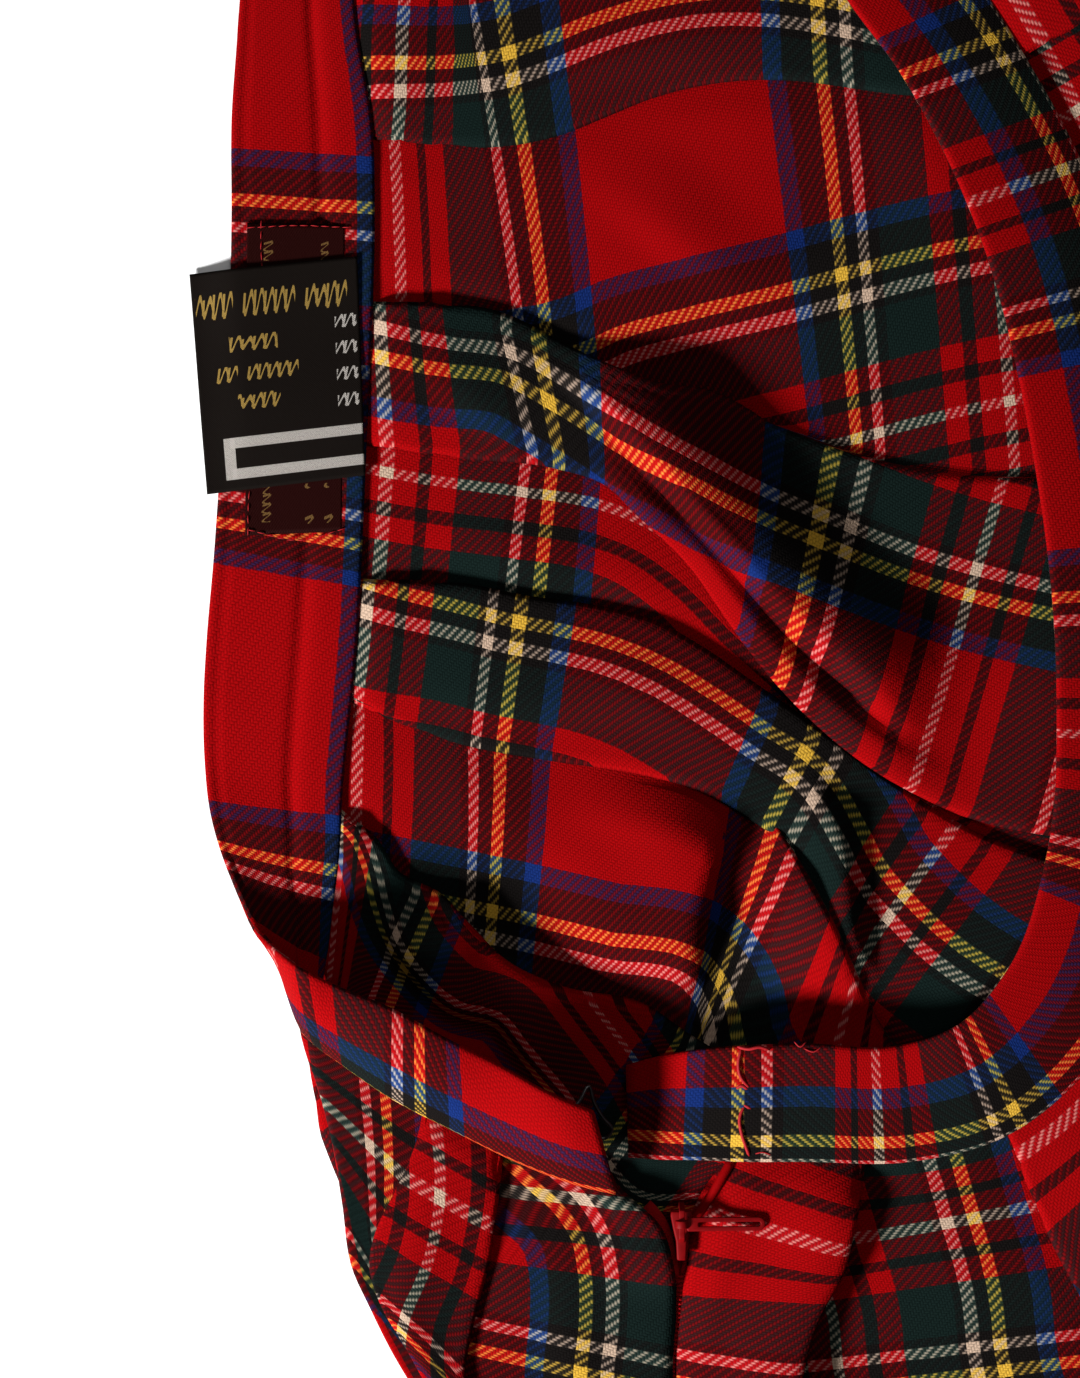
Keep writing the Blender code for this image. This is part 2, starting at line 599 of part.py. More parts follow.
def make_label(name, corners, bottom, finish, droop=0.0):
    """A flat label with its lower face at this height; droop lowers its free left edge."""
    left_top, right_top, right_low, left_low = plan(corners)
    share = np.linspace(0, 1, 7)
    rows = []
    for s in share:
        left, right = left_top + (left_low - left_top) * s, right_top + (right_low - right_top) * s
        line = left + (right - left) * share[:, None]
        lift = bottom + LABEL_CLOTH / 2 - droop * (1 - smooth(share / 0.25))
        rows.append(np.hstack([line, lift[:, None]]))
    make_wall(name, np.array(rows)[::-1], LABEL_CLOTH, finish)


def make_tape(name, side, finish):
    """A zip tape under one panel's edge, down past the zip's lower end."""
    lengths = np.r_[7.0, V[(V >= 10) & (V <= ZIP_LENGTH)]]
    edge = np.stack([np.interp(lengths, V, zip_edge(side)[:, k]) for k in range(2)], -1)
    along = unit(np.gradient(edge, lengths, axis=0))
    away = side * np.stack([along[:, 1], -along[:, 0]], -1)
    share = np.array([0.0, 0.5, 1.0])[:, None, None]
    lines = edge[None] + (share * TAPE_WIDTH - 0.9) * away[None]
    heights = np.full(lines.shape[:2], CLOTH / 2 + FRONT_LIFT - 1.4)
    middle = np.concatenate([lines, heights[..., None]], -1)
    make_wall(name, middle if side < 0 else middle[::-1], CLOTH, finish)


def make_chain(finish):
    """The closed chain of the zip between the panel edges, from the slider to the lower stop."""
    lengths = np.r_[23.0, V[(V > 23) & (V <= ZIP_LENGTH)]]
    line = at(curve(plan(ZIP_LINE)), V)
    middle_line = np.stack([np.interp(lengths, V, line[:, k]) for k in range(2)], -1)
    along = unit(np.gradient(middle_line, lengths, axis=0))
    away = np.stack([along[:, 1], -along[:, 0]], -1)
    share = np.array([1.0, 0.0, -1.0])[:, None, None]
    lines = middle_line[None] + share * away[None]
    heights = np.full(lines.shape[:2], CLOTH / 2 + FRONT_LIFT + 0.25)
    make_wall("zip_chain", np.concatenate([lines, heights[..., None]], -1)[::-1], 1.5, finish)


def extruded(outline, low, high, hole=None):
    """Points and faces of an outline in x and z drawn out along y, with a hole of as many points."""
    count = len(outline)
    rings = [(outline, low), (outline, high)]
    if hole is not None:
        rings += [(hole, high), (hole, low)]
    points = [(x, y, z) for ring, y in rings for x, z in ring]
    pairs = [(0, 1)] if hole is None else [(0, 1), (1, 2), (2, 3), (3, 0)]
    faces = []
    for a, b in pairs:
        for k in range(count):
            n = (k + 1) % count
            faces.append((a * count + k, b * count + k, b * count + n, a * count + n))
    if hole is None:
        faces += [tuple(range(count)), tuple(range(count, 2 * count))[::-1]]
    return points, faces


def make_slider(finish):
    """The slider: a tapered body joined to a bridge whose bar carries the pull tab."""
    middle = plan(SLIDER_MIDDLE)
    wide, long = SLIDER_SIZE[0] / 2, SLIDER_SIZE[1] / 2
    low = CLOTH / 2 + FRONT_LIFT - 0.3
    top = low + SLIDER_SIZE[2]
    outline = [(-wide, long), (-wide, long * 0.2), (-wide * 0.55, -long), (wide * 0.55, -long), (wide, long * 0.2),
               (wide, long)]
    count = len(outline)
    body = [(x + middle[0], y + middle[1], z) for z in (low, top) for x, y in outline]
    faces = [tuple(range(count))[::-1], tuple(range(count, 2 * count))]
    faces += [(k, (k + 1) % count, (k + 1) % count + count, k + count) for k in range(count)]
    slider = make_object("zip_slider", body, faces, finish, smooth_faces=False)
    bar_y = plan((0, BAR_Y_PIXEL))[1]
    under, over = BAR_HEIGHT - BAR_THICKNESS / 2, BAR_HEIGHT + BAR_THICKNESS / 2
    foot = top - 0.5
    arch = [(-3.9, foot), (-3.0, foot), (-2.3, under), (2.3, under), (3.0, foot), (3.9, foot), (2.9, over), (-2.9, over)]
    half = BRIDGE_WIDTH / 2
    ring = [(middle[0] + side * half, bar_y + y, z) for side in (-1, 1) for y, z in arch]
    count = len(arch)
    faces = [tuple(range(count))[::-1], tuple(range(count, 2 * count))]
    faces += [(k, (k + 1) % count, (k + 1) % count + count, k + count) for k in range(count)]
    bridge = make_object("zip_bridge_form", ring, faces, finish, smooth_faces=False)
    bridge.hide_render = True
    bridge.display_type = "WIRE"
    join = slider.modifiers.new("bridge", "BOOLEAN")
    join.operation = "UNION"
    join.object = bridge
    return np.array([middle[0], bar_y, BAR_HEIGHT])


def make_pull_tab(bar, finish):
    """The pull tab lying to the right, its eye round the bridge's bar and its origin on the bar."""
    half = PULL_THICKNESS / 2
    angles = np.radians(np.linspace(PULL_NECK_ANGLE, 360 - PULL_NECK_ANGLE, 13))
    outline = [(EYE_RADIUS * np.cos(a), EYE_RADIUS * np.sin(a)) for a in angles]
    outline += [(PULL_LENGTH - 0.6, -half - PULL_DROP), (PULL_LENGTH, -PULL_DROP - half / 3),
                (PULL_LENGTH, half / 3 - PULL_DROP), (PULL_LENGTH - 0.6, half - PULL_DROP)]
    turn = np.radians(np.linspace(PULL_NECK_ANGLE, 360 + PULL_NECK_ANGLE, len(outline), endpoint=False))
    hole = [(EYE_HOLE * np.cos(a), EYE_HOLE * np.sin(a)) for a in turn]
    points, faces = extruded(outline, -PULL_WIDTH / 2, PULL_WIDTH / 2, hole)
    pivot = bar - np.array([*ORIGIN, 0.0])
    make_object("zip_pull_tab", np.array(points) + bar, faces, finish, pivot=pivot, smooth_faces=False)


def make_hook(finish):
    """A bent wire hook under the waistband's end."""
    places = [(*plan(point[:2]), point[2]) for point in HOOK_POINTS]
    line = curve(places, cuts=3)[1]
    wire = bpy.data.curves.new("waist_hook", "CURVE")
    wire.dimensions = "3D"
    wire.bevel_depth = HOOK_WIRE / 2000
    wire.bevel_resolution = 1
    wire.use_fill_caps = True
    spline = wire.splines.new("POLY")
    spline.points.add(len(line) - 1)
    for point, place in zip(spline.points, line):
        point.co = (*((np.array(place) - (*ORIGIN, 0.0)) / 1000), 1)
    wire.materials.append(finish)
    bpy.context.scene.collection.objects.link(bpy.data.objects.new("waist_hook", wire))


def main():
    for piece in list(bpy.data.objects):
        bpy.data.objects.remove(piece, do_unlink=True)
    wool = material("tartan wool", RED, 0.85)
    zip_cloth = material("zip tape", ZIP_RED, 0.8)
    painted = material("painted zip metal", ZIP_RED, 0.35)
    starts = make_skirt(wool)
    make_waistband(starts, wool)
    band_top = BAND_CLOTH + LABEL_GAP
    make_label("woven_label", WOVEN_LABEL, band_top, material("woven label", BROWN_WOVEN, 0.6))
    make_label("care_label", CARE_LABEL, band_top + LABEL_CLOTH + LABEL_GAP, material("satin", BLACK_SATIN, 0.4), 1.0)
    make_tape("zip_tape_left", 1, zip_cloth)
    make_tape("zip_tape_right", -1, zip_cloth)
    make_chain(painted)
    bar = make_slider(painted)
    make_pull_tab(bar, painted)
    make_hook(material("hook wire", DARK_METAL, 0.3, 1.0))


main()
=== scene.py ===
"""Looks of a pleated mini skirt of tartan wool, laid flat with its waist pulled open.

The cloth is built again here in finer rows and columns on the shapes that the solids have, with the
tartan woven along it, and with its sewing, zip, hook, thread bars and labels. Sizes are millimetres
until a mesh is made. A place read from the photograph is written in its pixels.
"""

import json
from functools import cache

import bmesh
import bpy
import numpy as np
from mathutils import Vector
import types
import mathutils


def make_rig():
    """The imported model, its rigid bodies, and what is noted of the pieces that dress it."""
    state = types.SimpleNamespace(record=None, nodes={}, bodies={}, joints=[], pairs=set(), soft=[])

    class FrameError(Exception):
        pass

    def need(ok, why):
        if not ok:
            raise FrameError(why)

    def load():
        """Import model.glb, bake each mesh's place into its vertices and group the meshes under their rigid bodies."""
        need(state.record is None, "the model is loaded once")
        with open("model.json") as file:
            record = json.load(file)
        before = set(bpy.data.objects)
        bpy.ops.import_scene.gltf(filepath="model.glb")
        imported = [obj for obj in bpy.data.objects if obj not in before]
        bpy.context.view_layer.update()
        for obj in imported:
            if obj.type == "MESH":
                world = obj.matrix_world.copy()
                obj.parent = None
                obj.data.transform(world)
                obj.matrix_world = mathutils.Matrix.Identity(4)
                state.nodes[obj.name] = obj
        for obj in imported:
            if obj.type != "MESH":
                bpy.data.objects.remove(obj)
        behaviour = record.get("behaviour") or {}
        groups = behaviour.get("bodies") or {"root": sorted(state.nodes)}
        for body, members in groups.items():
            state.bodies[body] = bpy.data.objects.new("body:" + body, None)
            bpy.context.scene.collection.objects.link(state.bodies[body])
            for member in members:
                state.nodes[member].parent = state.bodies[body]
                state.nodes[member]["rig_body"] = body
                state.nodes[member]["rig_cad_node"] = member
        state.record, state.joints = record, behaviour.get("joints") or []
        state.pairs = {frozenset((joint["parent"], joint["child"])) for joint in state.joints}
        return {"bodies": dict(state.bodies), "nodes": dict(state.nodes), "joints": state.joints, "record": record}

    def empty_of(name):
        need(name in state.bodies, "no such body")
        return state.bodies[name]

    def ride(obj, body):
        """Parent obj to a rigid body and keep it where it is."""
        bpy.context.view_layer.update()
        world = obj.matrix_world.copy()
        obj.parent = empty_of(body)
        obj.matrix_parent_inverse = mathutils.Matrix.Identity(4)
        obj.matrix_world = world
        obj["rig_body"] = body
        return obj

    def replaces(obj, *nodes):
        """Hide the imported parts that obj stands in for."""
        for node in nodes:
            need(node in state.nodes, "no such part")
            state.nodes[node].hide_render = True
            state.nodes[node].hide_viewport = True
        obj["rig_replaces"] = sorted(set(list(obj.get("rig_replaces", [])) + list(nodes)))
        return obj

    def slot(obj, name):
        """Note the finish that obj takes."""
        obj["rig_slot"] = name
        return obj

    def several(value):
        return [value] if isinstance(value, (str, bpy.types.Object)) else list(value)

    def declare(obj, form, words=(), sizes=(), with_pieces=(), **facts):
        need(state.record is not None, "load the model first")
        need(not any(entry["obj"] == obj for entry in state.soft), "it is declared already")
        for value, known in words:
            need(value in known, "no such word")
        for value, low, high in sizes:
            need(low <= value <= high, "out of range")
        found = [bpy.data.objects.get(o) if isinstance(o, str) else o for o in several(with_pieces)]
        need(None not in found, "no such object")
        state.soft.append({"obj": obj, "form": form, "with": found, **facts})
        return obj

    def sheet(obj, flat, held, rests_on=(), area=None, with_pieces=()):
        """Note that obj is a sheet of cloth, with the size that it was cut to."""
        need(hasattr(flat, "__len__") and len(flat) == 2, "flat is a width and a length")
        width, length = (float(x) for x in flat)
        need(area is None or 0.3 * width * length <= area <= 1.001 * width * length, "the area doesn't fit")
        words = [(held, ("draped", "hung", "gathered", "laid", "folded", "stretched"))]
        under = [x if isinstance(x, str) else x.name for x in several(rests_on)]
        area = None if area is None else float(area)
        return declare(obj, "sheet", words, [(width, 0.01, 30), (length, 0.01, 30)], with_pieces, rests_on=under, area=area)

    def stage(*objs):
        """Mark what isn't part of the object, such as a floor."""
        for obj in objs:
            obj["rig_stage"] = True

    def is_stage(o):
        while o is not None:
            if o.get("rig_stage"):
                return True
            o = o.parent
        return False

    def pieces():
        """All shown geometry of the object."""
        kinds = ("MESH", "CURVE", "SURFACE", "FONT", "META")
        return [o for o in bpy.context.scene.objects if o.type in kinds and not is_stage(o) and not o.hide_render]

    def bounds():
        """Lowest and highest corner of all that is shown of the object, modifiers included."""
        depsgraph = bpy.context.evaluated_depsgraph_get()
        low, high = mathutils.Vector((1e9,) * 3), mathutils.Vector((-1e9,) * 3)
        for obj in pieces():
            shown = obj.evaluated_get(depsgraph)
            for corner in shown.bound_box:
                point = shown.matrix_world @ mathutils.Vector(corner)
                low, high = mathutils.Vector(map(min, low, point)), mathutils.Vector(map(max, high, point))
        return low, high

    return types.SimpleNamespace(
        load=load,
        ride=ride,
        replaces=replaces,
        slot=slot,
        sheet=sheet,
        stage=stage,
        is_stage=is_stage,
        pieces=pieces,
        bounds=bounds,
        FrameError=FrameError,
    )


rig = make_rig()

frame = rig.load()
solid_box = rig.bounds()

# Photograph frame
PIXELS_PER_MM = 4.7
PICTURE_SIZE = (1080, 1378)
PICTURE_MIDDLE = (540.0, 689.0)
# The middle of the skirt's box, measured from the picture's middle
ORIGIN = (205.765, -10.313)
CAMERA_LENS = 100.0
CAMERA_SENSOR = 36.0

# Cloth: its length below the waist seam, the walls of the solids and of the shells here, the rise of a
# strip that lies on top, and of the front layer over the back one
SKIRT_LENGTH = 353.0
CLOTH = 1.0
SHELL = 0.85
BAND_SHELL = 1.6
PLEAT_RISE = 2.4
FRONT_LIFT = 5.4
PANEL_LEVEL = CLOTH / 2 + FRONT_LIFT
ZIP_LENGTH = 152.0
TAPE_WIDTH = 9.0
TAPE_START = 7.0
COIL_START = 23.0
COIL_PITCH = 0.95
WARP_PITCH = 0.57
WEFT_PITCH = 0.49
# Distances of the cloth's rows below the waist seam: fine down to here, coarse beyond
FINE_LENGTH = 140.0
FINE_ROWS = np.linspace(0, FINE_LENGTH, 64)
V = np.r_[FINE_ROWS, np.linspace(FINE_LENGTH + 5, SKIRT_LENGTH, 36)]
COLUMN_SPACING = 2.3
PLEAT_COLUMNS = 9
# How far a pleat's edge is set back, how far the cloth goes under the waistband, the overlap where a
# pleat has let go and the length over which it does
NOSE = 1.1
UNDER_BAND = 2.2
LET_GO = -3.0
LET_GO_LENGTH = 26
# Millimetres of cloth in one unit of the UV map
CLOTH_UNIT = 100.0

# Waistband, from its hook end round to its underlap end: top edge, seam edge, and their heights
BAND_COLUMNS = ("top_x", "top_y", "seam_x", "seam_y", "top_z", "seam_z")
BAND_ROWS = [
    (592, 1100, 616, 1186, 15.0, 7.6),
    (560, 1087, 583, 1178, 17.0, 7.6),
    (500, 1055, 513, 1152, 19.0, 7.4),
    (450, 1030, 455, 1123, 20.0, 7.2),
    (395, 1000, 395, 1092, 20.0, 7.0),
    (335, 975, 345, 1058, 20.0, 6.4),
    (300, 957, 316, 1037, 19.0, 5.4),
    (283, 946, 303, 1024, 14.5, 4.2),
    (262, 930, 316, 1000, 9.5, 3.0),
    (240, 893, 327, 955, 5.0, 2.0),
    (222, 852, 334, 905, 2.4, 1.3),
    (211, 812, 340, 855, 2.0, 1.0),
    (205, 760, 343, 790, 1.0, 1.0),
    (204, 700, 350, 720, 1.0, 1.0),
    (207, 640, 357, 650, 1.0, 1.0),
    (214, 560, 362, 560, 1.0, 1.0),
    (219, 490, 365, 490, 1.0, 1.0),
    (225, 400, 369, 400, 1.0, 1.0),
    (230, 310, 373, 310, 1.0, 1.0),
    (232, 220, 375, 220, 1.0, 1.0),
    (232, 120, 372, 120, 1.0, 1.0),
    (238, 30, 358, 35, 1.0, 1.0),
    (241, -50, 349, -60, 1.2, 1.0),
    (232, -95, 341, -135, 2.0, 1.0),
    (222, -132, 334, -185, 4.0, 1.3),
    (240, -173, 327, -235, 8.0, 2.0),
    (262, -210, 316, -280, 13.0, 3.0),
    (283, -226, 303, -304, 16.0, 4.2),
    (300, -237, 316, -317, 17.0, 5.4),
    (335, -255, 345, -338, 17.0, 6.4),
    (446, -289, 474, -383, 16.0, 7.4),
    (563, -279, 596, -387, 15.0, 7.4),
    (681, -218, 737, -321, 14.0, 7.4),
    (775, -110, 864, -195, 13.0, 7.4),
    (841, 8, 944, -54, 12.0, 7.4),
    (892, 78, 1001, 31, 12.0, 7.4),
    (972, 242, 1090, 200, 13.0, 7.4),
    (1024, 454, 1146, 435, 13.0, 7.4),
    (1048, 689, 1170, 689, 13.0, 7.4),
    (1038, 854, 1156, 886, 13.0, 7.4),
    (1000, 965, 1090, 1056, 13.0, 7.4),
    (950, 1020, 998, 1133, 13.0, 7.4),
    (893, 1040, 907, 1157, 12.0, 7.4),
    (800, 1038, 800, 1157, 12.0, 7.4),
    (740, 1040, 740, 1157, 12.0, 7.2),
    (700, 1044, 696, 1156, 10.5, 6.6),
    (660, 1052, 656, 1156, 7.5, 5.6),
    (626, 1062, 628, 1154, 5.6, 5.2),
]

# Fold line of each pleat from the waist seam outwards, in picture pixels, in order round the skirt.
# overlap is how far the pleat's edge covers the next strip, opens is where the pleat lets go.
FOLD_COLUMNS = ("name", "overlap", "opens", "points")
FOLD_ROWS = [
    ("O3_O2", 5.0, 260, [
        (505, 1148), (498, 1180), (492, 1215), (485, 1250), (475, 1290), (466, 1330), (461, 1370),
        (480, 1420), (560, 1540), (780, 1780), (1050, 2000), (1460, 2240)]),
    ("O2_O1", 2.5, 260, [
        (422, 1107), (421, 1130), (410, 1160), (396, 1190), (380, 1225), (374, 1262), (383, 1293),
        (409, 1340), (430, 1378), (480, 1450), (590, 1590), (770, 1815), (985, 2030), (1330, 2280)]),
    ("O1_H", 7.0, 320, [(312, 1008), (345, 1090), (395, 1200), (480, 1320), (680, 1500), (1450, 2080)]),
    ("H_G", 7.0, 320, [(325, 965), (370, 1050), (450, 1150), (620, 1280), (900, 1450), (1620, 1850)]),
    ("G_F", 7.0, 320, [
        (343, 805), (385, 850), (400, 880), (440, 900), (470, 930), (500, 960), (560, 990), (640, 1010),
        (685, 1040), (800, 1105), (1000, 1200), (1300, 1340), (1761, 1600)]),
    ("F_E", 7.0, 80, [
        (354, 700), (400, 718), (470, 738), (550, 752), (650, 768), (700, 783), (750, 815), (790, 850),
        (825, 905), (860, 975), (895, 1035), (960, 1085), (1200, 1180), (1825, 1380)]),
    ("E_D", 7.0, 320, [
        (362, 580), (450, 590), (530, 605), (600, 615), (650, 628), (700, 655), (750, 690), (800, 725),
        (895, 795), (960, 835), (1200, 900), (1990, 1040)]),
    ("D_C", 7.0, 320, [
        (367, 443), (450, 450), (560, 462), (600, 475), (640, 512), (690, 560), (730, 615), (760, 655),
        (800, 700), (895, 775), (960, 805), (1200, 840), (1893, 870)]),
    ("C_B", 7.0, 72, [
        (373, 303), (450, 312), (500, 322), (575, 358), (620, 378), (660, 393), (700, 397), (740, 410),
        (800, 440), (895, 470), (1200, 478), (2004, 470)]),
    ("B_A", 7.0, 320, [
        (373, 137), (450, 140), (520, 137), (560, 128), (600, 112), (650, 92), (700, 80), (750, 75),
        (800, 76), (895, 88), (1200, 80), (2023, 49)]),
    ("A_Z", 7.0, 240, [(351, -20), (446, -35), (681, -72), (1010, -119), (1480, -195), (1988, -275)]),
    ("Z_Y", 7.0, 200, [(343, -130), (540, -195), (822, -265), (1245, -359), (1621, -439), (1974, -514)]),
    ("Y_X", 7.0, 320, [(330, -222), (446, -322), (681, -416), (963, -495), (1386, -604), (1880, -735)]),
]
# Outline of the two side folds, from the waist seam to the hem
LOWER_SIDE = [
    (303, 1024), (307, 1045), (325, 1100), (335, 1140), (345, 1200), (355, 1265), (371, 1300), (396, 1350),
    (414, 1380), (465, 1450), (563, 1582), (704, 1817), (916, 2052), (1245, 2310)]
UPPER_SIDE = [
    (303, -304), (311, -338), (350, -402), (446, -468), (681, -556), (963, -634), (1386, -738),
    (1850, -862)]
# Middle line of the zip, and half the width between the two panel edges beside it
ZIP_LINE = [
    (672, 1165), (676, 1205), (679, 1240), (678, 1300), (673, 1370), (732, 1558), (916, 1746),
    (1174, 1920), (1503, 2052), (1832, 2146)]
ZIP_HALF_WIDTHS = [
    (0, 12.0), (4, 9.0), (8, 5.0), (12, 2.8), (18, 1.8), (24, 0.8), (32, 0.4), (45, 0.25),
    (ZIP_LENGTH, 0.25), (170, 0.25)]
# Lines that the front's hidden pleats are spread between, from the upper side fold to the zip
FRONT_LINES = [
    [(728, -321), (869, -439), (1151, -557), (1597, -683), (2255, -838)],
    [(916, -119), (1057, -251), (1339, -383), (1785, -510), (2420, -650)],
    [(1048, 102), (1221, -7), (1527, -110), (1997, -204), (2617, -322)],
    [(1137, 384), (1339, 336), (1668, 303), (2138, 275), (2787, 257)],
    [(1174, 689), (1386, 689), (1715, 712), (2185, 727), (2834, 727)],
    [(1142, 971), (1292, 1074), (1480, 1145), (1762, 1206), (2749, 1347)],
    [(1029, 1145), (1080, 1235), (1200, 1380), (1500, 1510), (1900, 1640), (2443, 1798)],
    [(860, 1158), (845, 1220), (830, 1265), (808, 1310), (793, 1370), (822, 1498), (987, 1652),
     (1245, 1779), (1574, 1888), (2044, 1982)],
]
FRONT_FOLDS = 16
FRONT_OVERLAP = 6.0
# Where the right panel's edge leaves the waist seam, and a height below it that no fold reaches
ZIP_RIGHT_TOP = (728, 1157)
NEVER = 999

# Waistband: length added beyond its last known crossings, column spacing, where its tartan begins and how
# much of it each face shows, the depth, place and width of its sewing grooves, and the lift of its free end
FAR = 500
BAND_SPACING = 1.9
BAND_PADDING = 0.25
OUTER_START, OUTER_SPAN, ROLLED_SPAN, ROLLED_BEND = 53.4, 24.9, 17.7, 3.0
INNER_START, INNER_SPAN = -42.9, 26.0
BAND_GROOVES = [(-0.5, 0.085, 0.02), (-0.8, 0.62, 0.035)]
FREE_END_LIFT, FREE_END_SLOPE, FREE_END_LENGTH = 4.2, 1.6, 30.0

# Each strip between two folds, from the zip's left edge round to the upper side. The first three
# are the part of the back that lies over the rest, outer side up.
BACK_STRIPS = ["O3", "O2", "O1", "H", "G", "F", "E", "D", "C", "B", "A", "Z", "Y", "X"]
TURNED_STRIP = BACK_STRIPS.index("O1")

# Large soft folds of the cloth: strip, height, width of the slow side and of the steep side, which
# side of the line is slow, how long each end fades, and the crest line in picture pixels
RELIEF_COLUMNS = ("strip", "height", "slow", "steep", "slow_side", "fade", "points")
RELIEF_ROWS = [
    ("C", 11.0, 26.0, 4.0, "left", 30.0, [
        (545, 362), (600, 400), (640, 445), (680, 490), (730, 545), (760, 580), (800, 625), (850, 670),
        (895, 715), (950, 755)]),
    ("C", 5.0, 9.0, 5.0, "left", 20.0, [
        (590, 462), (640, 506), (694, 552), (737, 608), (768, 648), (806, 690), (900, 765), (960, 795)]),
    ("F", 8.0, 42.0, 4.0, "right", 14.0, [
        (752, 800), (722, 835), (704, 870), (695, 910), (690, 960), (684, 1015)]),
    ("F", 8.5, 20.0, 5.0, "right", 24.0, [(735, 806), (790, 850), (825, 905), (860, 975), (892, 1030)]),
    ("E", 5.0, 20.0, 4.0, "right", 14.0, [(806, 775), (832, 820), (842, 880), (848, 930), (875, 990)]),
    ("front_15", 4.6, 17.0, 3.0, "right", 14.0, [
        (858, 1166), (842, 1220), (826, 1265), (804, 1310), (789, 1370), (800, 1440), (850, 1530)]),
    ("O3", 2.8, 22.0, 2.5, "right", 9.0, [
        (585, 1188), (620, 1190), (648, 1202), (664, 1225), (671, 1260), (672, 1300)]),
    ("G", 8.0, 26.0, 4.0, "left", 16.0, [
        (385, 895), (402, 940), (425, 970), (455, 997), (505, 1012), (526, 1040), (546, 1066),
        (572, 1092)]),
]

# Softer folds of the same form that only show as light and shade
SOFT_FOLDS = [
    ("B", 1.3, 16.0, 9.0, "left", 30.0, [(560, 150), (640, 205), (720, 262), (800, 300)]),
    ("B", 0.9, 12.0, 9.0, "right", 30.0, [(600, 330), (700, 300), (800, 262), (900, 240)]),
    ("A", 1.0, 14.0, 8.0, "left", 24.0, [(520, 90), (620, 60), (740, 62), (860, 90)]),
    ("C", 1.2, 12.0, 7.0, "left", 20.0, [(400, 330), (440, 370), (500, 420), (560, 440)]),
    ("D", 1.0, 10.0, 7.0, "right", 20.0, [(400, 540), (500, 545), (600, 570), (700, 630)]),
    ("E", 1.0, 12.0, 8.0, "left", 26.0, [(420, 690), (520, 700), (640, 700), (740, 740)]),
    ("F", 1.3, 16.0, 10.0, "right", 26.0, [(420, 790), (520, 830), (600, 900), (640, 985)]),
    ("F", 0.9, 12.0, 8.0, "left", 20.0, [(560, 780), (640, 800), (690, 850)]),
    ("O3", 1.2, 12.0, 7.0, "left", 24.0, [(560, 1200), (565, 1260), (560, 1330), (600, 1440)]),
    ("O2", 1.3, 9.0, 6.0, "right", 20.0, [(430, 1150), (425, 1220), (405, 1290), (420, 1380)]),
    ("front_15", 1.0, 12.0, 9.0, "left", 20.0, [(770, 1262), (752, 1310), (740, 1360), (760, 1440)]),
]

# Labels at the centre back: four corners in picture pixels, from the top left clockwise
CARE_LABEL = [(190, 275), (358, 258), (366, 476), (208, 495)]
WOVEN_LABEL = [(248, 224), (345, 226), (342, 532), (246, 536)]

# Zip slider and its pull tab
SLIDER_MIDDLE = (680, 1230)
SLIDER_HEIGHT = 3.4
BRIDGE_WIDTH = 1.2
BAR_THICKNESS = 0.9
BAR_Y_PIXEL = 1217
BAR_HEIGHT = 11.4
PULL_LENGTH = 17.4
PULL_WIDTH = 2.6
PULL_THICKNESS = 1.0
EYE_RADIUS = 1.5
EYE_HOLE = 0.85
PULL_DROP = 1.2
HOOK_POINTS = [
    (566, 1106, 12.4), (578, 1096, 12.2), (588, 1080, 12.0), (593, 1096, 11.4), (602, 1112, 10.8),
    (611, 1124, 10.0), (604, 1133, 9.4), (592, 1128, 10.0), (580, 1122, 10.6)]

# Small threads and edges, in picture pixels and millimetres of height or of lift from what they lie on
TURNED_EDGE = [(731, 1155, 6.9), (722, 1170, 7.6), (710, 1190, 7.7), (699, 1206, 7.2), (690, 1218, 6.4)]
THREAD_BARS = [
    [(734, 1041), (745, 1043, 0.5), (756, 1041, 0.5), (766, 1044)],
    [(738, 1043), (735, 1057, 0.6), (737, 1070, 0.6), (747, 1083)],
    [(745, 1084), (739, 1080, 0.4), (733, 1083)],
    [(739, 1098), (748, 1103, 0.4)],
    [(742, 1099), (737, 1112, 0.7), (739, 1128, 0.7), (743, 1140, 0.5), (747, 1151)],
]
SHORT_THREADS = [
    [(790, 1036), (796, 1041, 0.4), (802, 1036)], [(800, 1043), (809, 1046, 0.4), (817, 1041)],
    [(752, 1149), (760, 1147, 0.4), (769, 1150)],
]
LABEL_STITCHES = [
    [(252, 229), (300, 227), (347, 229)], [(262, 226), (262, 250), (263, 268)],
    [(250, 496), (249, 515), (249, 532)], [(252, 531), (300, 541), (342, 530)],
]

# Each sheet's flat width and length, its flat area where that isn't their product, and what it lies on
SHEETS = {
    "back_cloth": ((0.811, 0.353), 0.278, ["floor"]),
    "front_cloth": ((0.844, 0.353), 0.273, ["back_cloth"]),
    "waistband_cloth": ((0.890, 0.030), 0.0230, ["back_cloth", "front_cloth"]),
    "woven_label_cloth": ((0.021, 0.066), None, ["waistband_cloth"]),
    "care_label_cloth": ((0.036, 0.0465), None, ["woven_label_cloth"]),
    "zip_tape_left_cloth": ((0.010, 0.145), None, ["front_cloth"]),
    "zip_tape_right_cloth": ((0.010, 0.145), None, ["front_cloth"]),
}

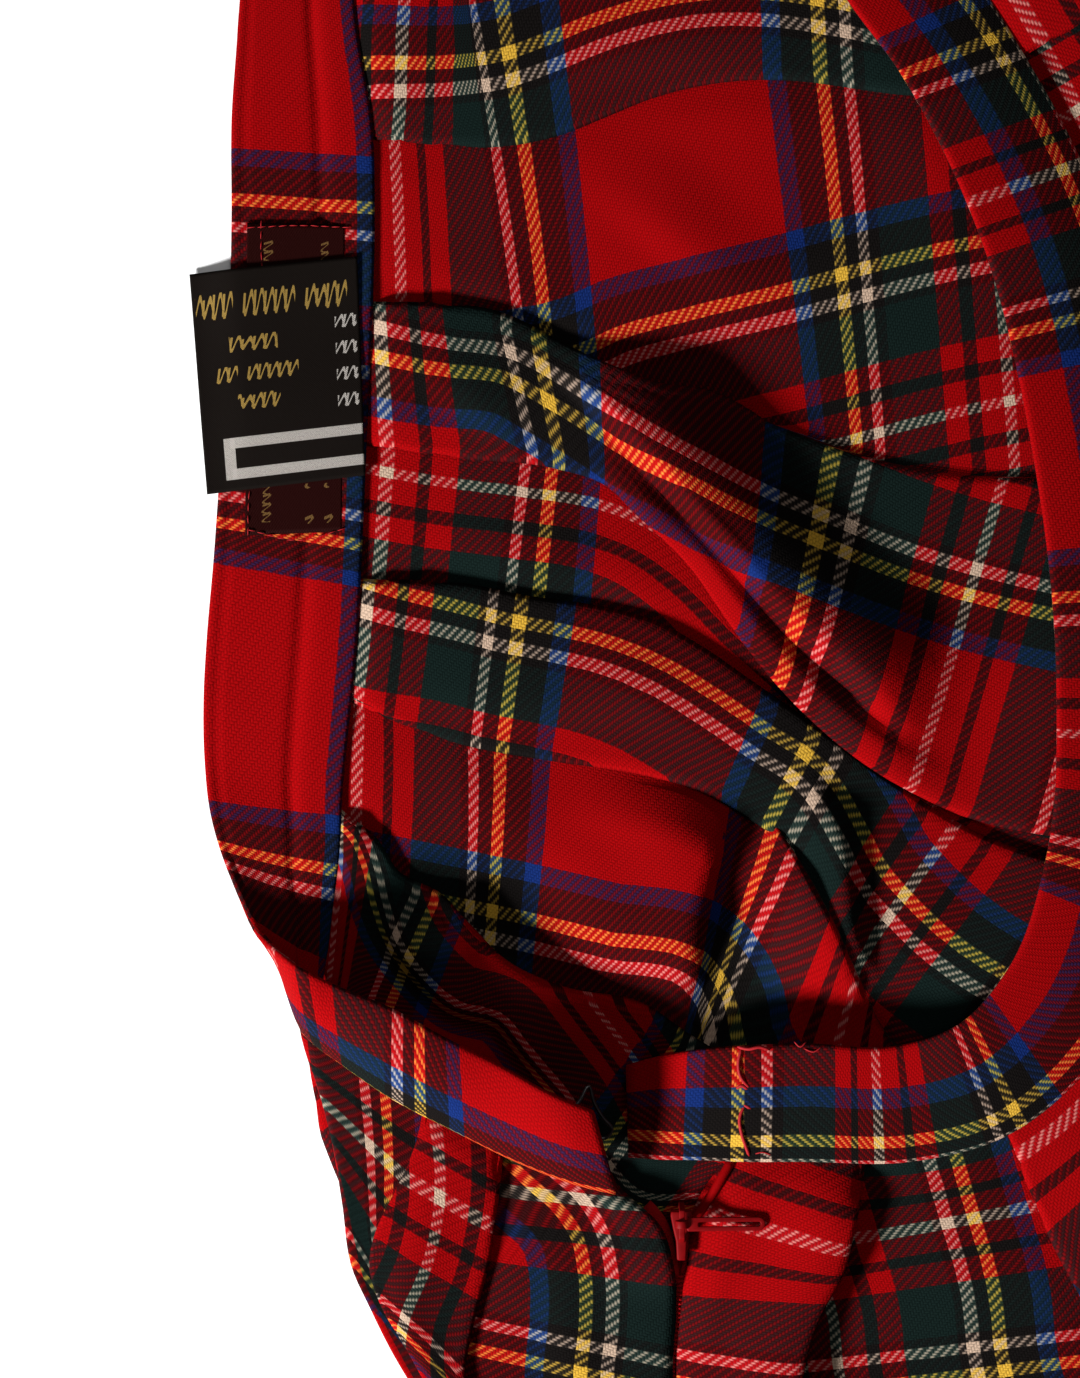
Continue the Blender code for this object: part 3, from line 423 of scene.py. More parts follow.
# Half of the tartan's repeat, from the middle of one white line. The other half mirrors it.
SETT_COLUMNS = ("until", "colour")
SETT = [
    (1.25, "white"), (6.3, "red"), (9.0, "black"), (14.0, "red"), (25.3, "green"), (27.4, "black"),
    (30.0, "white"), (33.2, "black"), (35.9, "yellow"), (42.0, "black"), (46.0, "blue"), (68.0, "red")]
HALF_SETT = SETT[-1][0]
YARNS = {
    "red": (0.196, 0.0006, 0.0012),
    "white": (0.36, 0.255, 0.185),
    "black": (0.0040, 0.0032, 0.0030),
    "green": (0.0036, 0.0085, 0.0075),
    "yellow": (0.450, 0.260, 0.028),
    "blue": (0.0035, 0.0130, 0.078),
}
# Marks woven on the labels, in shares of a label's width and length. A wide Line makes a solid bar.
MARK_COLUMNS = ("Left", "Right", "Middle", "Half height", "Pitch", "Line", "Gaps")
GOLD_MARKS = [(0.02, 0.96, 0.16, 0.060, 0.062, 0.30, 0.05), (0.21, 0.50, 0.34, 0.036, 0.070, 0.34, 0.0),
              (0.07, 0.62, 0.475, 0.036, 0.062, 0.34, 0.2), (0.24, 0.50, 0.605, 0.036, 0.065, 0.34, 0.0)]
PALE_MARKS = [(0.17, 0.995, 0.785, 0.024, 1.0, 9.0, -1.0), (0.17, 0.995, 0.925, 0.024, 1.0, 9.0, -1.0),
              (0.13, 0.20, 0.855, 0.094, 1.0, 9.0, -1.0)]
PALE_MARKS += [(0.85, 0.98, middle, 0.030, 0.060, 0.34, -1.0) for middle in (0.285, 0.405, 0.525, 0.645)]
BROWN_MARKS = [(0.04, 0.96, 0.22, 0.050, 0.030, 0.25, 0.1), (0.05, 0.13, 0.80, 0.040, 0.030, 0.25, 0.1),
               (0.84, 0.97, 0.66, 0.060, 0.045, 0.25, 0.1), (0.84, 0.97, 0.86, 0.060, 0.045, 0.25, 0.1)]
GOLD_THREAD, PALE_THREAD = (0.23, 0.145, 0.035, 1), (0.30, 0.275, 0.25, 1)
# The skirt's first white line lies this far below the waist seam
FIRST_WHITE = 6.5
# Where weft lines of the sett cross a strip's two folds: x pixels on the back, y pixels on the front
WEFT_LINES = (0.0, 14.0, 28.7, 46.0, 90.0, 107.3)
WEFT_COLUMNS = ("strip", "fold", "pixels")
WEFT_ROWS = [
    ("A", 0, (407, 455, 493, 572, 763, 848)),
    ("A", 1, (413, 457, 463, 553, 758, 838)),
    ("B", 0, (412, 455, 525, 600, 806, 876)),
    ("B", 1, (403, 446, 493, 575, 767, 850)),
    ("C", 0, (396, 460, 533, 605, 738, 803)),
    ("C", 1, (390, 445, 505, 600, 765, 868)),
    ("D", 0, (387, 447, 508, 590, 752, 800)),
    ("D", 1, (398, 462, 530, 603, 785, 838)),
    ("E", 0, (368, 420, 476, 552, 722, 788)),
    ("E", 1, (380, 437, 493, 575, 760, 838)),
    ("F", 0, (367, 413, 474, 537, 688, 698)),
    ("F", 1, (366, 412, 468, 550, 735, 790)),
    ("G", 0, (338, 348, 360, 398, 520, 560)),
    ("G", 1, (352, 378, 418, 462, 655, 690)),
    ("O3", 0, (1193, 1280, 1358)),
    ("O3", 1, (1200, 1262, 1322)),
    ("O2", 0, (1222, 1290, 1365)),
    ("O2", 1, (1175, 1232, 1290)),
    ("O1", 0, (1178, 1235, 1290)),
    ("O1", 1, (1085, 1150, 1215)),
    ("front_15", 0, (1243, 1292, 1358)),
    ("front_15", 1, (1212, 1290, 1348)),
    ("front_14", 0, (1215, 1275, 1342)),
    ("front_14", 1, (1240, 1298, 1362)),
]
# One warp line of the sett on each strip that shows, from the waist outwards, in picture pixels
WARP_COLUMNS = ("strip", "sett", "points")
WARP_ROWS = [
    ("A", 28.7, [
        (375, 92), (450, 92), (500, 86), (560, 66), (600, 50), (650, 34), (700, 25), (760, 24), (840, 34),
        (895, 45), (1200, 40)]),
    ("B", 46.0, [
        (373, 325), (500, 312), (560, 300), (600, 283), (680, 261), (765, 240), (830, 222), (895, 205),
        (1200, 150)]),
    ("C", -28.7, [
        (375, 328), (450, 345), (510, 353), (560, 378), (600, 402), (650, 435), (700, 462), (750, 488),
        (830, 520), (895, 545), (1200, 620)]),
    ("D", 0.0, [
        (367, 467), (450, 483), (520, 492), (600, 505), (645, 522), (700, 560), (750, 610), (800, 655),
        (895, 735), (1200, 830)]),
    ("E", 28.7, [
        (365, 612), (400, 622), (450, 633), (500, 646), (550, 656), (600, 668), (650, 688), (700, 718),
        (750, 752), (800, 785), (835, 840), (855, 878), (895, 925), (1200, 1100)]),
    ("F", 28.7, [
        (373, 915), (450, 930), (520, 944), (600, 962), (690, 984), (703, 1006), (712, 1050), (745, 1105),
        (1200, 1290)]),
    ("G", -28.7, [
        (343, 815), (366, 832), (380, 865), (388, 905), (402, 940), (425, 970), (455, 997), (505, 1014),
        (526, 1040), (546, 1066), (572, 1100), (600, 1150), (640, 1192), (705, 1196), (800, 1260),
        (1200, 1480)]),
    ("O3", 28.7, [
        (545, 1155), (580, 1185), (600, 1215), (611, 1262), (612, 1320), (607, 1375), (640, 1480),
        (780, 1640), (1100, 1900), (1500, 2090)]),
    ("O2", 0.0, [
        (440, 1110), (441, 1197), (430, 1252), (405, 1318), (404, 1375), (450, 1450), (620, 1660),
        (900, 1930), (1300, 2200)]),
    ("O1", -28.7, [
        (338, 1055), (345, 1105), (352, 1180), (365, 1260), (400, 1340), (440, 1410), (600, 1620),
        (900, 2000)]),
    ("front_15", 68.0, [
        (790, 1165), (775, 1240), (745, 1310), (735, 1370), (780, 1500), (950, 1690), (1450, 1960)]),
    ("front_14", 0.0, [(815, 1260), (830, 1310), (837, 1370), (870, 1480), (1040, 1640), (1400, 1800)]),
]

# Known places of the tartan on the waist seam: x and y in pixels, its distance round the cloth there, and how
# far the outer and the inner face's stripes lean before they reach the top edge. From the band's free end to
# the upper side, then back from the other end, where a whole repeat begins anew.
CROSSING_COLUMNS = ("x", "y", "sett", "outer_lean", "inner_lean")
BAND_CROSSINGS = [
    (616, 1186, 77.5, 0.0, 0.0), (468, 1130, 46.0, 0.0, 0.0), (424, 1108, 34.6, 0.0, 0.0),
    (400, 1095, 28.7, 0.0, 0.0), (303, 1015, 0.0, 0.0, -5.0), (335, 893, -28.7, 0.0, -5.5),
    (338, 868, -34.6, 0.0, -5.5), (343, 815, -46.0, 0.0, -5.0), (361, 590, -90.0, 0.0, 4.5),
    (363, 547, -101.4, 0.0, 5.5), (371, 373, -136.0, 0.0, 3.0), (374, 210, -170.6, 0.0, 2.0),
    (368, 160, -182.0, 0.0, 2.0)]
UNDER_END_CROSSINGS = [
    (880, 1157, 0.0), (833, 1157, -14.0), (764, 1157, -28.7), (735, 1157, -34.6), (682, 1156, -46.0),
    (626, 1154, -58.0)]
# Strips that slope beside their known warp line: how much more cloth than plan lies on its right
# side and on its left side
SLOPED_SIDES = {"G": (2.5, 1.8)}


def plan(points):
    """Picture pixels as millimetres from the picture's middle."""
    points = np.asarray(points, float)
    x = (points[..., 0] - PICTURE_MIDDLE[0]) / PIXELS_PER_MM
    y = (PICTURE_MIDDLE[1] - points[..., 1]) / PIXELS_PER_MM
    return np.stack([x, y], -1)


def smooth(t):
    t = np.clip(t, 0.0, 1.0)
    return t * t * (3 - 2 * t)


def bell(x, middle, width):
    """A smooth hump of height 1 at the middle."""
    return np.exp(-((x - middle) / width) ** 2)


def unit(vectors):
    return vectors / np.maximum(np.linalg.norm(vectors, axis=-1, keepdims=True), 1e-9)


def named(columns, rows):
    return [dict(zip(columns, row)) for row in rows]


def curve(points, cuts=10):
    """A smooth curve through the points: its running length, and its points."""
    p = np.asarray(points, float)
    h = np.linalg.norm(np.diff(p[:, :2], axis=0), axis=1)[:, None]
    slope = np.diff(p, axis=0) / h
    middle = (slope[:-1] * h[1:] + slope[1:] * h[:-1]) / (h[1:] + h[:-1])
    m = np.vstack([slope[:1], middle, slope[-1:]])
    t = np.linspace(0, 1, cuts, endpoint=False)[None, :, None]
    a, b, ma, mb, h = (v[:, None] for v in (p[:-1], p[1:], m[:-1] * h, m[1:] * h, h))
    line = (1 + 2 * t) * (1 - t) ** 2 * a + t * (1 - t) ** 2 * ma
    line = line + t * t * (3 - 2 * t) * b + t * t * (t - 1) * mb
    line = np.vstack([line.reshape(-1, p.shape[1]), p[-1:]])
    return running(line), line


def between(lengths, runs, line):
    """The rows of a table of points at these lengths, straight from one known length to the next."""
    return np.stack([np.interp(lengths, runs, line[:, k]) for k in range(line.shape[1])], -1)


def sideways(line, *steps):
    """Level unit vectors to the right of a plan line, point by point."""
    along = unit(np.gradient(line, *steps, axis=0))
    return np.stack([along[:, 1], -along[:, 0]], -1)


def running(line):
    """The running length at each point of a line, seen in plan."""
    return np.r_[0, np.cumsum(np.linalg.norm(np.diff(line[:, :2], axis=0), axis=1))]


def at(path, lengths):
    """Points of a curve at these lengths along it. It runs straight on past its end."""
    run, line = path
    lengths = np.asarray(lengths, float)
    beyond = np.maximum(lengths - run[-1], 0)[..., None]
    return between(lengths, run, line) + beyond * unit(line[-1] - line[-2])


def length_at(path, point):
    """Where along a curve its plan comes nearest to a point."""
    run, line = path
    return run[np.argmin(np.linalg.norm(line[:, :2] - np.asarray(point), axis=1))]


def at_rows(points):
    """The plan curve through these picture pixels, at every row of the cloth."""
    return at(curve(plan(points)), V)


def beside(path, points):
    """Distance of each point to a curve, positive on its left, and the length along it there."""
    run, line = path
    flat = points.reshape(-1, 2)
    nearest = np.argmin(((flat[:, None] - line[None]) ** 2).sum(-1), axis=1)
    along = unit(np.gradient(line, axis=0))[nearest]
    away = flat - line[nearest]
    side = along[:, 0] * away[:, 1] - along[:, 1] * away[:, 0]
    return side.reshape(points.shape[:-1]), run[nearest].reshape(points.shape[:-1])


def relief(strip, points):
    """Height that the soft folds add to a strip at these plan points."""
    height = np.zeros(points.shape[:-1])
    for fold in named(RELIEF_COLUMNS, RELIEF_ROWS + SOFT_FOLDS):
        if fold["strip"] != strip:
            continue
        path = curve(plan(fold["points"]))
        distance, run = beside(path, points)
        if fold["slow_side"] == "right":
            distance = -distance
        width = np.where(distance >= 0, fold["slow"], fold["steep"])
        ends = np.minimum(run, path[0][-1] - run) / fold["fade"]
        height += fold["height"] * smooth(ends) * (1 - smooth(np.abs(distance) / width))
    return height


def band_edges():
    """The waistband's top edge and seam edge as curves with heights, matched row by row."""
    rows = named(BAND_COLUMNS, BAND_ROWS)
    edges = []
    for side in ("top", "seam"):
        places = plan([(row[side + "_x"], row[side + "_y"]) for row in rows])
        heights = np.array([[row[side + "_z"]] for row in rows])
        edges.append(np.hstack([places, heights]))
    return edges


TOP_ROWS, SEAM_ROWS = band_edges()
SEAM = curve(SEAM_ROWS)
ROW_RUNS = np.array([length_at(SEAM, row[:2]) for row in SEAM_ROWS])
TOP = curve(np.hstack([TOP_ROWS, ROW_RUNS[:, None]]))[1]


def band_top(lengths):
    """The waistband's top edge opposite these lengths along its seam edge."""
    return between(lengths, TOP[:, 3], TOP[:, :3])


def fold_line(points):
    """One fold's plan place at each station, and where it starts on the waist seam."""
    path = curve(plan(points))
    start = length_at(SEAM, plan(points[0]))
    line = at(path, V)
    shift = at(SEAM, start)[:2] - line[0]
    return line + shift * (1 - smooth(V / 40))[:, None], start


def zip_edge(side):
    """The panel edge beside the zip: side is 1 for the left panel and -1 for the right one."""
    middle = at_rows(ZIP_LINE)
    half = np.interp(V, *zip(*ZIP_HALF_WIDTHS))
    return middle + side * half[:, None] * sideways(middle, V)


def front_fold_lines():
    """The front's fold lines from the upper side fold to the zip, spread between FRONT_LINES."""
    upper = at_rows(UPPER_SIDE)
    guides = [upper] + [at_rows(points) for points in FRONT_LINES]
    starts = [length_at(SEAM, plan(UPPER_SIDE[0]))] + [length_at(SEAM, plan(p[0])) for p in FRONT_LINES]
    first, last = starts[0] + 20.0, starts[-1]
    lines = []
    for start in np.linspace(first, last, FRONT_FOLDS):
        k = min(int(np.searchsorted(starts, start, side="right")) - 1, len(starts) - 2)
        share = (start - starts[k]) / (starts[k + 1] - starts[k])
        blend = (1 - share) * guides[k] + share * guides[k + 1]
        line = at((running(blend), blend), V)
        shift = at(SEAM, start)[:2] - line[0]
        lines.append((line + shift * (1 - smooth(V / 60))[:, None], start))
    return lines


class Fold:
    """One pleat's edge: its plan line, its place on the waist seam and how far it covers its neighbour."""

    def __init__(self, name, line, start, overlap, opens):
        self.name = name
        self.line = line
        self.start = start
        self.overlap = overlap + (LET_GO - overlap) * smooth((V - opens) / LET_GO_LENGTH)


class Strip:
    """The cloth between two folds, with its outer side high or low. Two strips turn over at a side."""

    def __init__(self, name, outer_high):
        self.name = name
        self.outer_high = outer_high
        self.turn = None


def skirt_layout():
    """Every fold and strip in order, from the zip's left edge right round to its right edge."""
    back = [Fold(row["name"], *fold_line(row["points"]), row["overlap"], row["opens"])
            for row in named(FOLD_COLUMNS, FOLD_ROWS)]
    front = [Fold(f"front_{k}", line, start, FRONT_OVERLAP, 190 + 45 * np.sin(1.7 * k))
             for k, (line, start) in enumerate(front_fold_lines())]
    names = BACK_STRIPS + [f"front_{k}" for k in range(FRONT_FOLDS)]
    strips = [Strip(name, k % 2 == 1) for k, name in enumerate(names)]
    strips[TURNED_STRIP].turn = LOWER_SIDE
    strips[len(BACK_STRIPS) - 1].turn = UPPER_SIDE
    left = Fold("zip_left", zip_edge(1), 0.0, 0.0, NEVER)
    right = Fold("zip_right", zip_edge(-1), length_at(SEAM, plan(ZIP_RIGHT_TOP)), 0.0, NEVER)
    return [left] + back + front + [right], strips


FOLDS, STRIPS = skirt_layout()


def outer_up(index):
    """Whether a strip, or the greater part of a turned one, lies with its outer side up."""
    return index <= TURNED_STRIP or index >= len(BACK_STRIPS)


def back_hem():
    """The back layer's hem as an angle and a distance from a point inside the waist."""
    hem = np.array([fold.line[-1] for fold in FOLDS[TURNED_STRIP + 1:len(BACK_STRIPS)]])
    ends = [at(curve(plan(side)), SKIRT_LENGTH)[None] for side in (LOWER_SIDE, UPPER_SIDE)]
    away = np.vstack([ends[0], hem, ends[1]]) - HEM_POLE
    return np.arctan2(away[:, 1], away[:, 0]), np.linalg.norm(away, axis=1)


HEM_POLE = np.array([-60.0, 60.0])
HEM_ANGLES, HEM_DISTANCES = back_hem()


def front_base(points):
    """Height of the layer under the front: the back layer's top, down to the surface beyond its hem."""
    away = points - HEM_POLE
    reach = np.interp(np.arctan2(away[..., 1], away[..., 0]), HEM_ANGLES, HEM_DISTANCES)
    beyond = np.linalg.norm(away, axis=-1) - reach
    return FRONT_LIFT * (1 - smooth((beyond - 27.0) / 30.0))


def level(points, front, high):
    """Height of the wall's middle on a strip."""
    base = np.full(points.shape[:-1], CLOTH / 2 + (PLEAT_RISE if high else 0.0))
    return base + (front_base(points) if front else 0.0)


def strip_edge(index, end, front):
    """Plan line and waist place of a strip's edge. A low strip reaches under its neighbour."""
    strip = STRIPS[index]
    fold = FOLDS[index + end]
    high = strip.outer_high == front
    if high or fold.name.startswith("zip"):
        return fold.line, fold.start
    neighbour = STRIPS[index + (1 if end else -1)]
    other = FOLDS[index + (2 if end else -1)].line
    if neighbour.turn is not None:
        other = at_rows(neighbour.turn)
    toward = unit(other - fold.line)
    sign = 1 if end else -1
    return fold.line + fold.overlap[:, None] * toward, fold.start + sign * fold.overlap[0]


def low_strip_clear(index, distance_start, distance_end):
    """How much a low strip may rise: nothing where its neighbours' edges lie over it."""
    clear = 1.0
    for fold, distance in ((FOLDS[index], distance_start), (FOLDS[index + 1], distance_end)):
        covered = smooth(fold.overlap / 4.0)
        visible = smooth((distance - fold.overlap - 1.0) / 8.0)
        clear = clear * (1 - covered * (1 - visible))
    return clear


def ripple(points):
    """The slight unevenness of worn wool, in millimetres."""
    x, y = points[..., 0], points[..., 1]
    slow = np.sin(x / 11.0 + 1.3 * np.sin(y / 17.0)) * np.sin(y / 13.0 + 0.9 * np.sin(x / 19.0))
    quick = np.sin(x / 4.7 + y / 6.1 + 1.1 * np.sin(y / 9.0)) * np.sin(y / 5.3 - x / 8.3)
    return 0.32 * slow + 0.07 * quick


def weft(index, share):
    """Distance down the cloth from its first white line, for columns at these shares of a strip."""
    rows = [row for row in named(WEFT_COLUMNS, WEFT_ROWS) if row["strip"] == STRIPS[index].name]
    if not rows:
        return np.broadcast_to(V - FIRST_WHITE, (len(share), len(V)))
    ends = []
    for row in rows:
        line = FOLDS[index + row["fold"]].line
        pixels = np.array(row["pixels"], float)
        if outer_up(index):
            runs = np.interp((pixels - PICTURE_MIDDLE[1]) / PIXELS_PER_MM, -line[:, 1], V)
        else:
            runs = np.interp((pixels - PICTURE_MIDDLE[0]) / PIXELS_PER_MM, line[:, 0], V)
        ends.append(np.maximum.accumulate(runs) + 0.01 * np.arange(len(runs)))
    known = np.array(WEFT_LINES[: len(ends[0])])
    known = np.r_[known[0] - 33, known, known[-1] + SKIRT_LENGTH]
    down = []
    for s in share:
        runs = (1 - s) * ends[0] + s * ends[1]
        down.append(np.interp(V, np.r_[runs[0] - 30, runs, runs[-1] + SKIRT_LENGTH], known))
    return np.array(down)


def warp(index, lines):
    """Distance round the cloth from a white line, at these plan points of a strip."""
    rows = [row for row in named(WARP_COLUMNS, WARP_ROWS) if row["strip"] == STRIPS[index].name]
    if rows:
        path, sett = curve(plan(rows[0]["points"])), rows[0]["sett"]
    else:
        middle = (FOLDS[index].line + FOLDS[index + 1].line) / 2
        path = running(middle), middle
        sett = HALF_SETT if STRIPS[index].outer_high else 0.0
    aside = beside(path, lines)[0] * (-1 if outer_up(index) else 1)
    right, left = SLOPED_SIDES.get(STRIPS[index].name, (1.0, 1.0))
    return sett + aside * np.where(aside < 0, right, left)


def spread(points):
    """Running distance across the columns, row by row."""
    steps = np.linalg.norm(np.diff(points, axis=0), axis=-1)
    return np.concatenate([np.zeros((1, points.shape[1])), np.cumsum(steps, axis=0)])


def plain_columns(index, front):
    """Points, cloth coordinates and waist places of a strip that lies in one layer."""
    strip = STRIPS[index]
    a, start_a = strip_edge(index, 0, front)
    b, start_b = strip_edge(index, 1, front)
    high = strip.outer_high == front
    span = np.linalg.norm(b - a, axis=1)
    inward = NOSE * np.minimum(1, span / 12)[:, None] * unit(b - a)
    if high and index > 0:
        a = a + inward
    if high and index < len(STRIPS) - 1:
        b = b - inward
    share = np.linspace(0, 1, int(np.clip(span[len(FINE_ROWS)] / COLUMN_SPACING, 5, 46)))
    lines = (1 - share)[:, None, None] * a + share[:, None, None] * b
    starts = (1 - share) * start_a + share * start_b
    rise = relief(strip.name, lines)
    if high:
        crown = (0.5 + 4.0 * (V / SKIRT_LENGTH) ** 1.3) if front else 0.6 + 0 * V
        rise = rise + crown[None] * (4 * share * (1 - share))[:, None]
        rise = rise + ripple(lines) * smooth(V / 14)[None] * smooth(4 * share * (1 - share))[:, None]
    else:
        rise = rise + 0.5 + 0.7 * ripple(lines) * smooth(V / 14)[None]
        rise = rise * low_strip_clear(index, share[:, None] * span, (1 - share)[:, None] * span)
    heights = level(lines, front, high) + rise
    if index == len(STRIPS) - 1:
        fall = level(lines, front, True) - level(lines, front, False)
        heights = heights - fall * (1 - smooth((1 - share)[:, None] * 4))
    cloth = np.stack([warp(index, lines), weft(index, share)], -1)
    return np.concatenate([lines, heights[..., None]], -1), cloth, starts


def turn_columns(index, from_front):
    """The same for the strip that goes round a side fold, from one layer to the other."""
    strip = STRIPS[index]
    silhouette = at_rows(strip.turn)
    middle = length_at(SEAM, plan(strip.turn[0]))
    arms = []
    for end, front in ((0, from_front), (1, not from_front)):
        edge, start = strip_edge(index, end, front)
        high = strip.outer_high == front
        arms.append((edge, start, level(edge, front, high), level(silhouette, front, high)))
    upper = np.maximum(arms[0][3], arms[1][3])
    radius = np.abs(arms[0][3] - arms[1][3]) / 2
    for end, (edge, start, edge_z, fold_z) in enumerate(arms):
        toward = unit(edge - silhouette)
        inner = silhouette + radius[:, None] * toward
        inner_start = middle + (start - middle) * 0.12
        arm = [(edge + (inner - edge) * s, edge_z + (fold_z - edge_z) * s, start + (inner_start - start) * s)
               for s in np.linspace(0, 1, 10)[:-1]]
        sign = np.where(fold_z >= upper - 1e-9, 1, -1)
        for angle in (90, 67.5, 45, 22.5):
            turn = np.radians(angle)
            place = silhouette + (radius * (1 - np.cos(turn)))[:, None] * toward
            height = upper - radius + sign * radius * np.sin(turn)
            arm.append((place, height, middle + (inner_start - middle) * (angle / 90)))
        arms[end] = arm
    order = arms[0] + [(silhouette, upper - radius, middle)] + arms[1][::-1]
    lines = np.array([c[0] for c in order])
    points = np.concatenate([lines, np.array([c[1] for c in order])[..., None]], -1)
    round_cloth = warp(index, lines[:1]) + spread(points)
    cloth = np.stack([round_cloth, weft(index, np.linspace(0, 1, len(lines)))], -1)
    return points, cloth, np.array([c[2] for c in order])


def pleat_edge(before, after, cloth_before, cloth_after, overlap):
    """Columns that carry the cloth round a pleat's edge and back under it to the next strip."""
    start, end = before[-1], after[0]
    reach = (1.5 + 1.1 * np.maximum(overlap, 0))[:, None]
    flat = np.array([1.0, 1.0, 0.0])
    leave = start + reach * unit((before[-1] - before[-2]) * flat)
    arrive = end - reach * unit((after[1] - after[0]) * flat)
    t = np.linspace(0, 1, PLEAT_COLUMNS + 2)[1:-1, None, None]
    points = (1 - t) ** 3 * start + 3 * (1 - t) ** 2 * t * leave + 3 * (1 - t) * t * t * arrive + t ** 3 * end
    whole = spread(np.concatenate([start[None], points, end[None]]))
    run, rest = whole[1:-1], whole[-1] - whole[1:-1]
    early = (t[..., 0] < 0.5) * np.ones_like(run)
    ring = np.where(early > 0, cloth_before[-1, :, 0] + run, cloth_after[0, :, 0] - rest)
    down = np.where(early > 0, cloth_before[-1, :, 1], cloth_after[0, :, 1])
    return points, np.stack([ring, down], -1)


def skirt_cloth(first, last):
    """Middle surface of the strips from first to last, with cloth coordinates at each point."""
    points, cloth, starts = [], [], []
    for index in range(first, last):
        if STRIPS[index].turn is not None:
            part = turn_columns(index, from_front=index == TURNED_STRIP)
        else:
            part = plain_columns(index, front=outer_up(index))
        if points:
            edge = pleat_edge(points[-1], part[0], cloth[-1], part[1], FOLDS[index].overlap)
            share = np.linspace(0, 1, PLEAT_COLUMNS + 2)[1:-1]
            points.append(edge[0])
            cloth.append(edge[1])
            starts.append((1 - share) * starts[-1][-1] + share * part[2][0])
        for gathered, values in zip((points, cloth, starts), part):
            gathered.append(values)
    points, cloth, starts = (np.concatenate(v) for v in (points, cloth, starts))
    return held_at_seam(points, starts), cloth


def held_at_seam(points, starts):
    """The cloth's points brought to the waist seam and a little way under the waistband."""
    seam = at(SEAM, starts)
    away = unit(seam[:, :2] - band_top(starts)[:, :2])
    held = (1 - smooth(V / 24))[None, :, None]
    lines = points[..., :2] + (seam[:, :2] - away * UNDER_BAND - points[:, 0, :2])[:, None] * held
    pressed = 1 - smooth(V / 6)
    under = seam[:, 2:] - 0.7
    layer = points[..., 2] - points[:, :1, 2].mean()
    heights = points[..., 2] * (1 - pressed) + pressed * (under + 0.16 * layer)
    return np.concatenate([lines, np.maximum(heights, SHELL / 2)[..., None]], -1)


def wall(middle, half):
    """Outer and inner points of a wall on this middle surface, whose rows go round and columns go out."""
    outward = unit(np.gradient(middle, axis=1))
    along = np.diff(middle, axis=0)
    normals = unit(np.cross(along, (outward[1:] + outward[:-1]) / 2))
    before = np.concatenate([normals[:1], normals])
    after = np.concatenate([normals, normals[-1:]])
    together = (before * after).sum(-1, keepdims=True)
    miter = (before + after) / np.maximum(1 + together, 0.35)
    return middle + half * miter, middle - half * miter


def shell_faces(rows, columns):
    """Quads of a closed wall whose outer points come first and inner points second."""
    grid = np.arange(rows * columns).reshape(rows, columns)
    inner = rows * columns
    outside = np.stack([grid[:-1, :-1], grid[1:, :-1], grid[1:, 1:], grid[:-1, 1:]], -1).reshape(-1, 4)
    faces = [outside, outside[:, ::-1] + inner]
    for line, turned in ((grid[:, 0], False), (grid[:, -1], True), (grid[0], True), (grid[-1], False)):
        rim = np.stack([line[:-1], line[:-1] + inner, line[1:] + inner, line[1:]], -1)
        faces.append(rim[:, ::-1] if turned else rim)
    return np.concatenate(faces).tolist()


def in_metres(points):
    """Points in millimetres from the picture's middle, as rows in metres from the skirt's middle."""
    return ((np.asarray(points, float).reshape(-1, 3) - (*ORIGIN, 0.0)) / 1000).tolist()


def in_scene(name, data):
    """A new object at the origin that shows this data."""
    made = bpy.data.objects.new(name, data)
    bpy.context.scene.collection.objects.link(made)
    return made


def mesh_object(name, points, faces, finish, cloth=None):
    """A smooth mesh object, from points in millimetres, with its cloth coordinates as a UV map."""
    mesh = bpy.data.meshes.new(name)
    mesh.from_pydata(in_metres(points), [], faces)
    if cloth is not None:
        layer = mesh.uv_layers.new(name="Cloth")
        corners = np.empty(len(mesh.loops), dtype=np.int64)
        mesh.loops.foreach_get("vertex_index", corners)
        layer.data.foreach_set("uv", (cloth.reshape(-1, 2)[corners] / CLOTH_UNIT).ravel())
    mesh.materials.append(finish)
    mesh.shade_smooth()
    return in_scene(name, mesh)


def ring_faces(rings, sides, ends="open", turned=False):
    """Quads between rings of points. The ends are open, capped, or joined to each other."""
    grid = np.arange(rings * sides).reshape(rings, sides)
    near, far = (grid, np.roll(grid, -1, axis=0)) if ends == "joined" else (grid[:-1], grid[1:])
    quads = np.stack([near, np.roll(near, -1, axis=1), np.roll(far, -1, axis=1), far], -1)
    faces = quads.reshape(-1, 4).tolist()
    if ends == "capped":
        faces += [grid[0, ::-1].tolist(), grid[-1].tolist()]
    return [face[::-1] for face in faces] if turned else faces


def shell_object(name, middle, half, cloth, finish, inner_cloth=None, inner_rise=0.0):
    """A thin closed shell with its own cloth coordinates on each face."""
    outer, inner = wall(middle, half)
    inner = inner - inner_rise * unit(outer - inner)
    points = np.concatenate([outer.reshape(-1, 3), inner.reshape(-1, 3)])
    points[:, 2] = np.maximum(points[:, 2], 0.02)
    inner_cloth = cloth if inner_cloth is None else inner_cloth
    both = np.concatenate([cloth.reshape(-1, 2), inner_cloth.reshape(-1, 2)])
    return mesh_object(name, points, shell_faces(*middle.shape[:2]), finish, both)


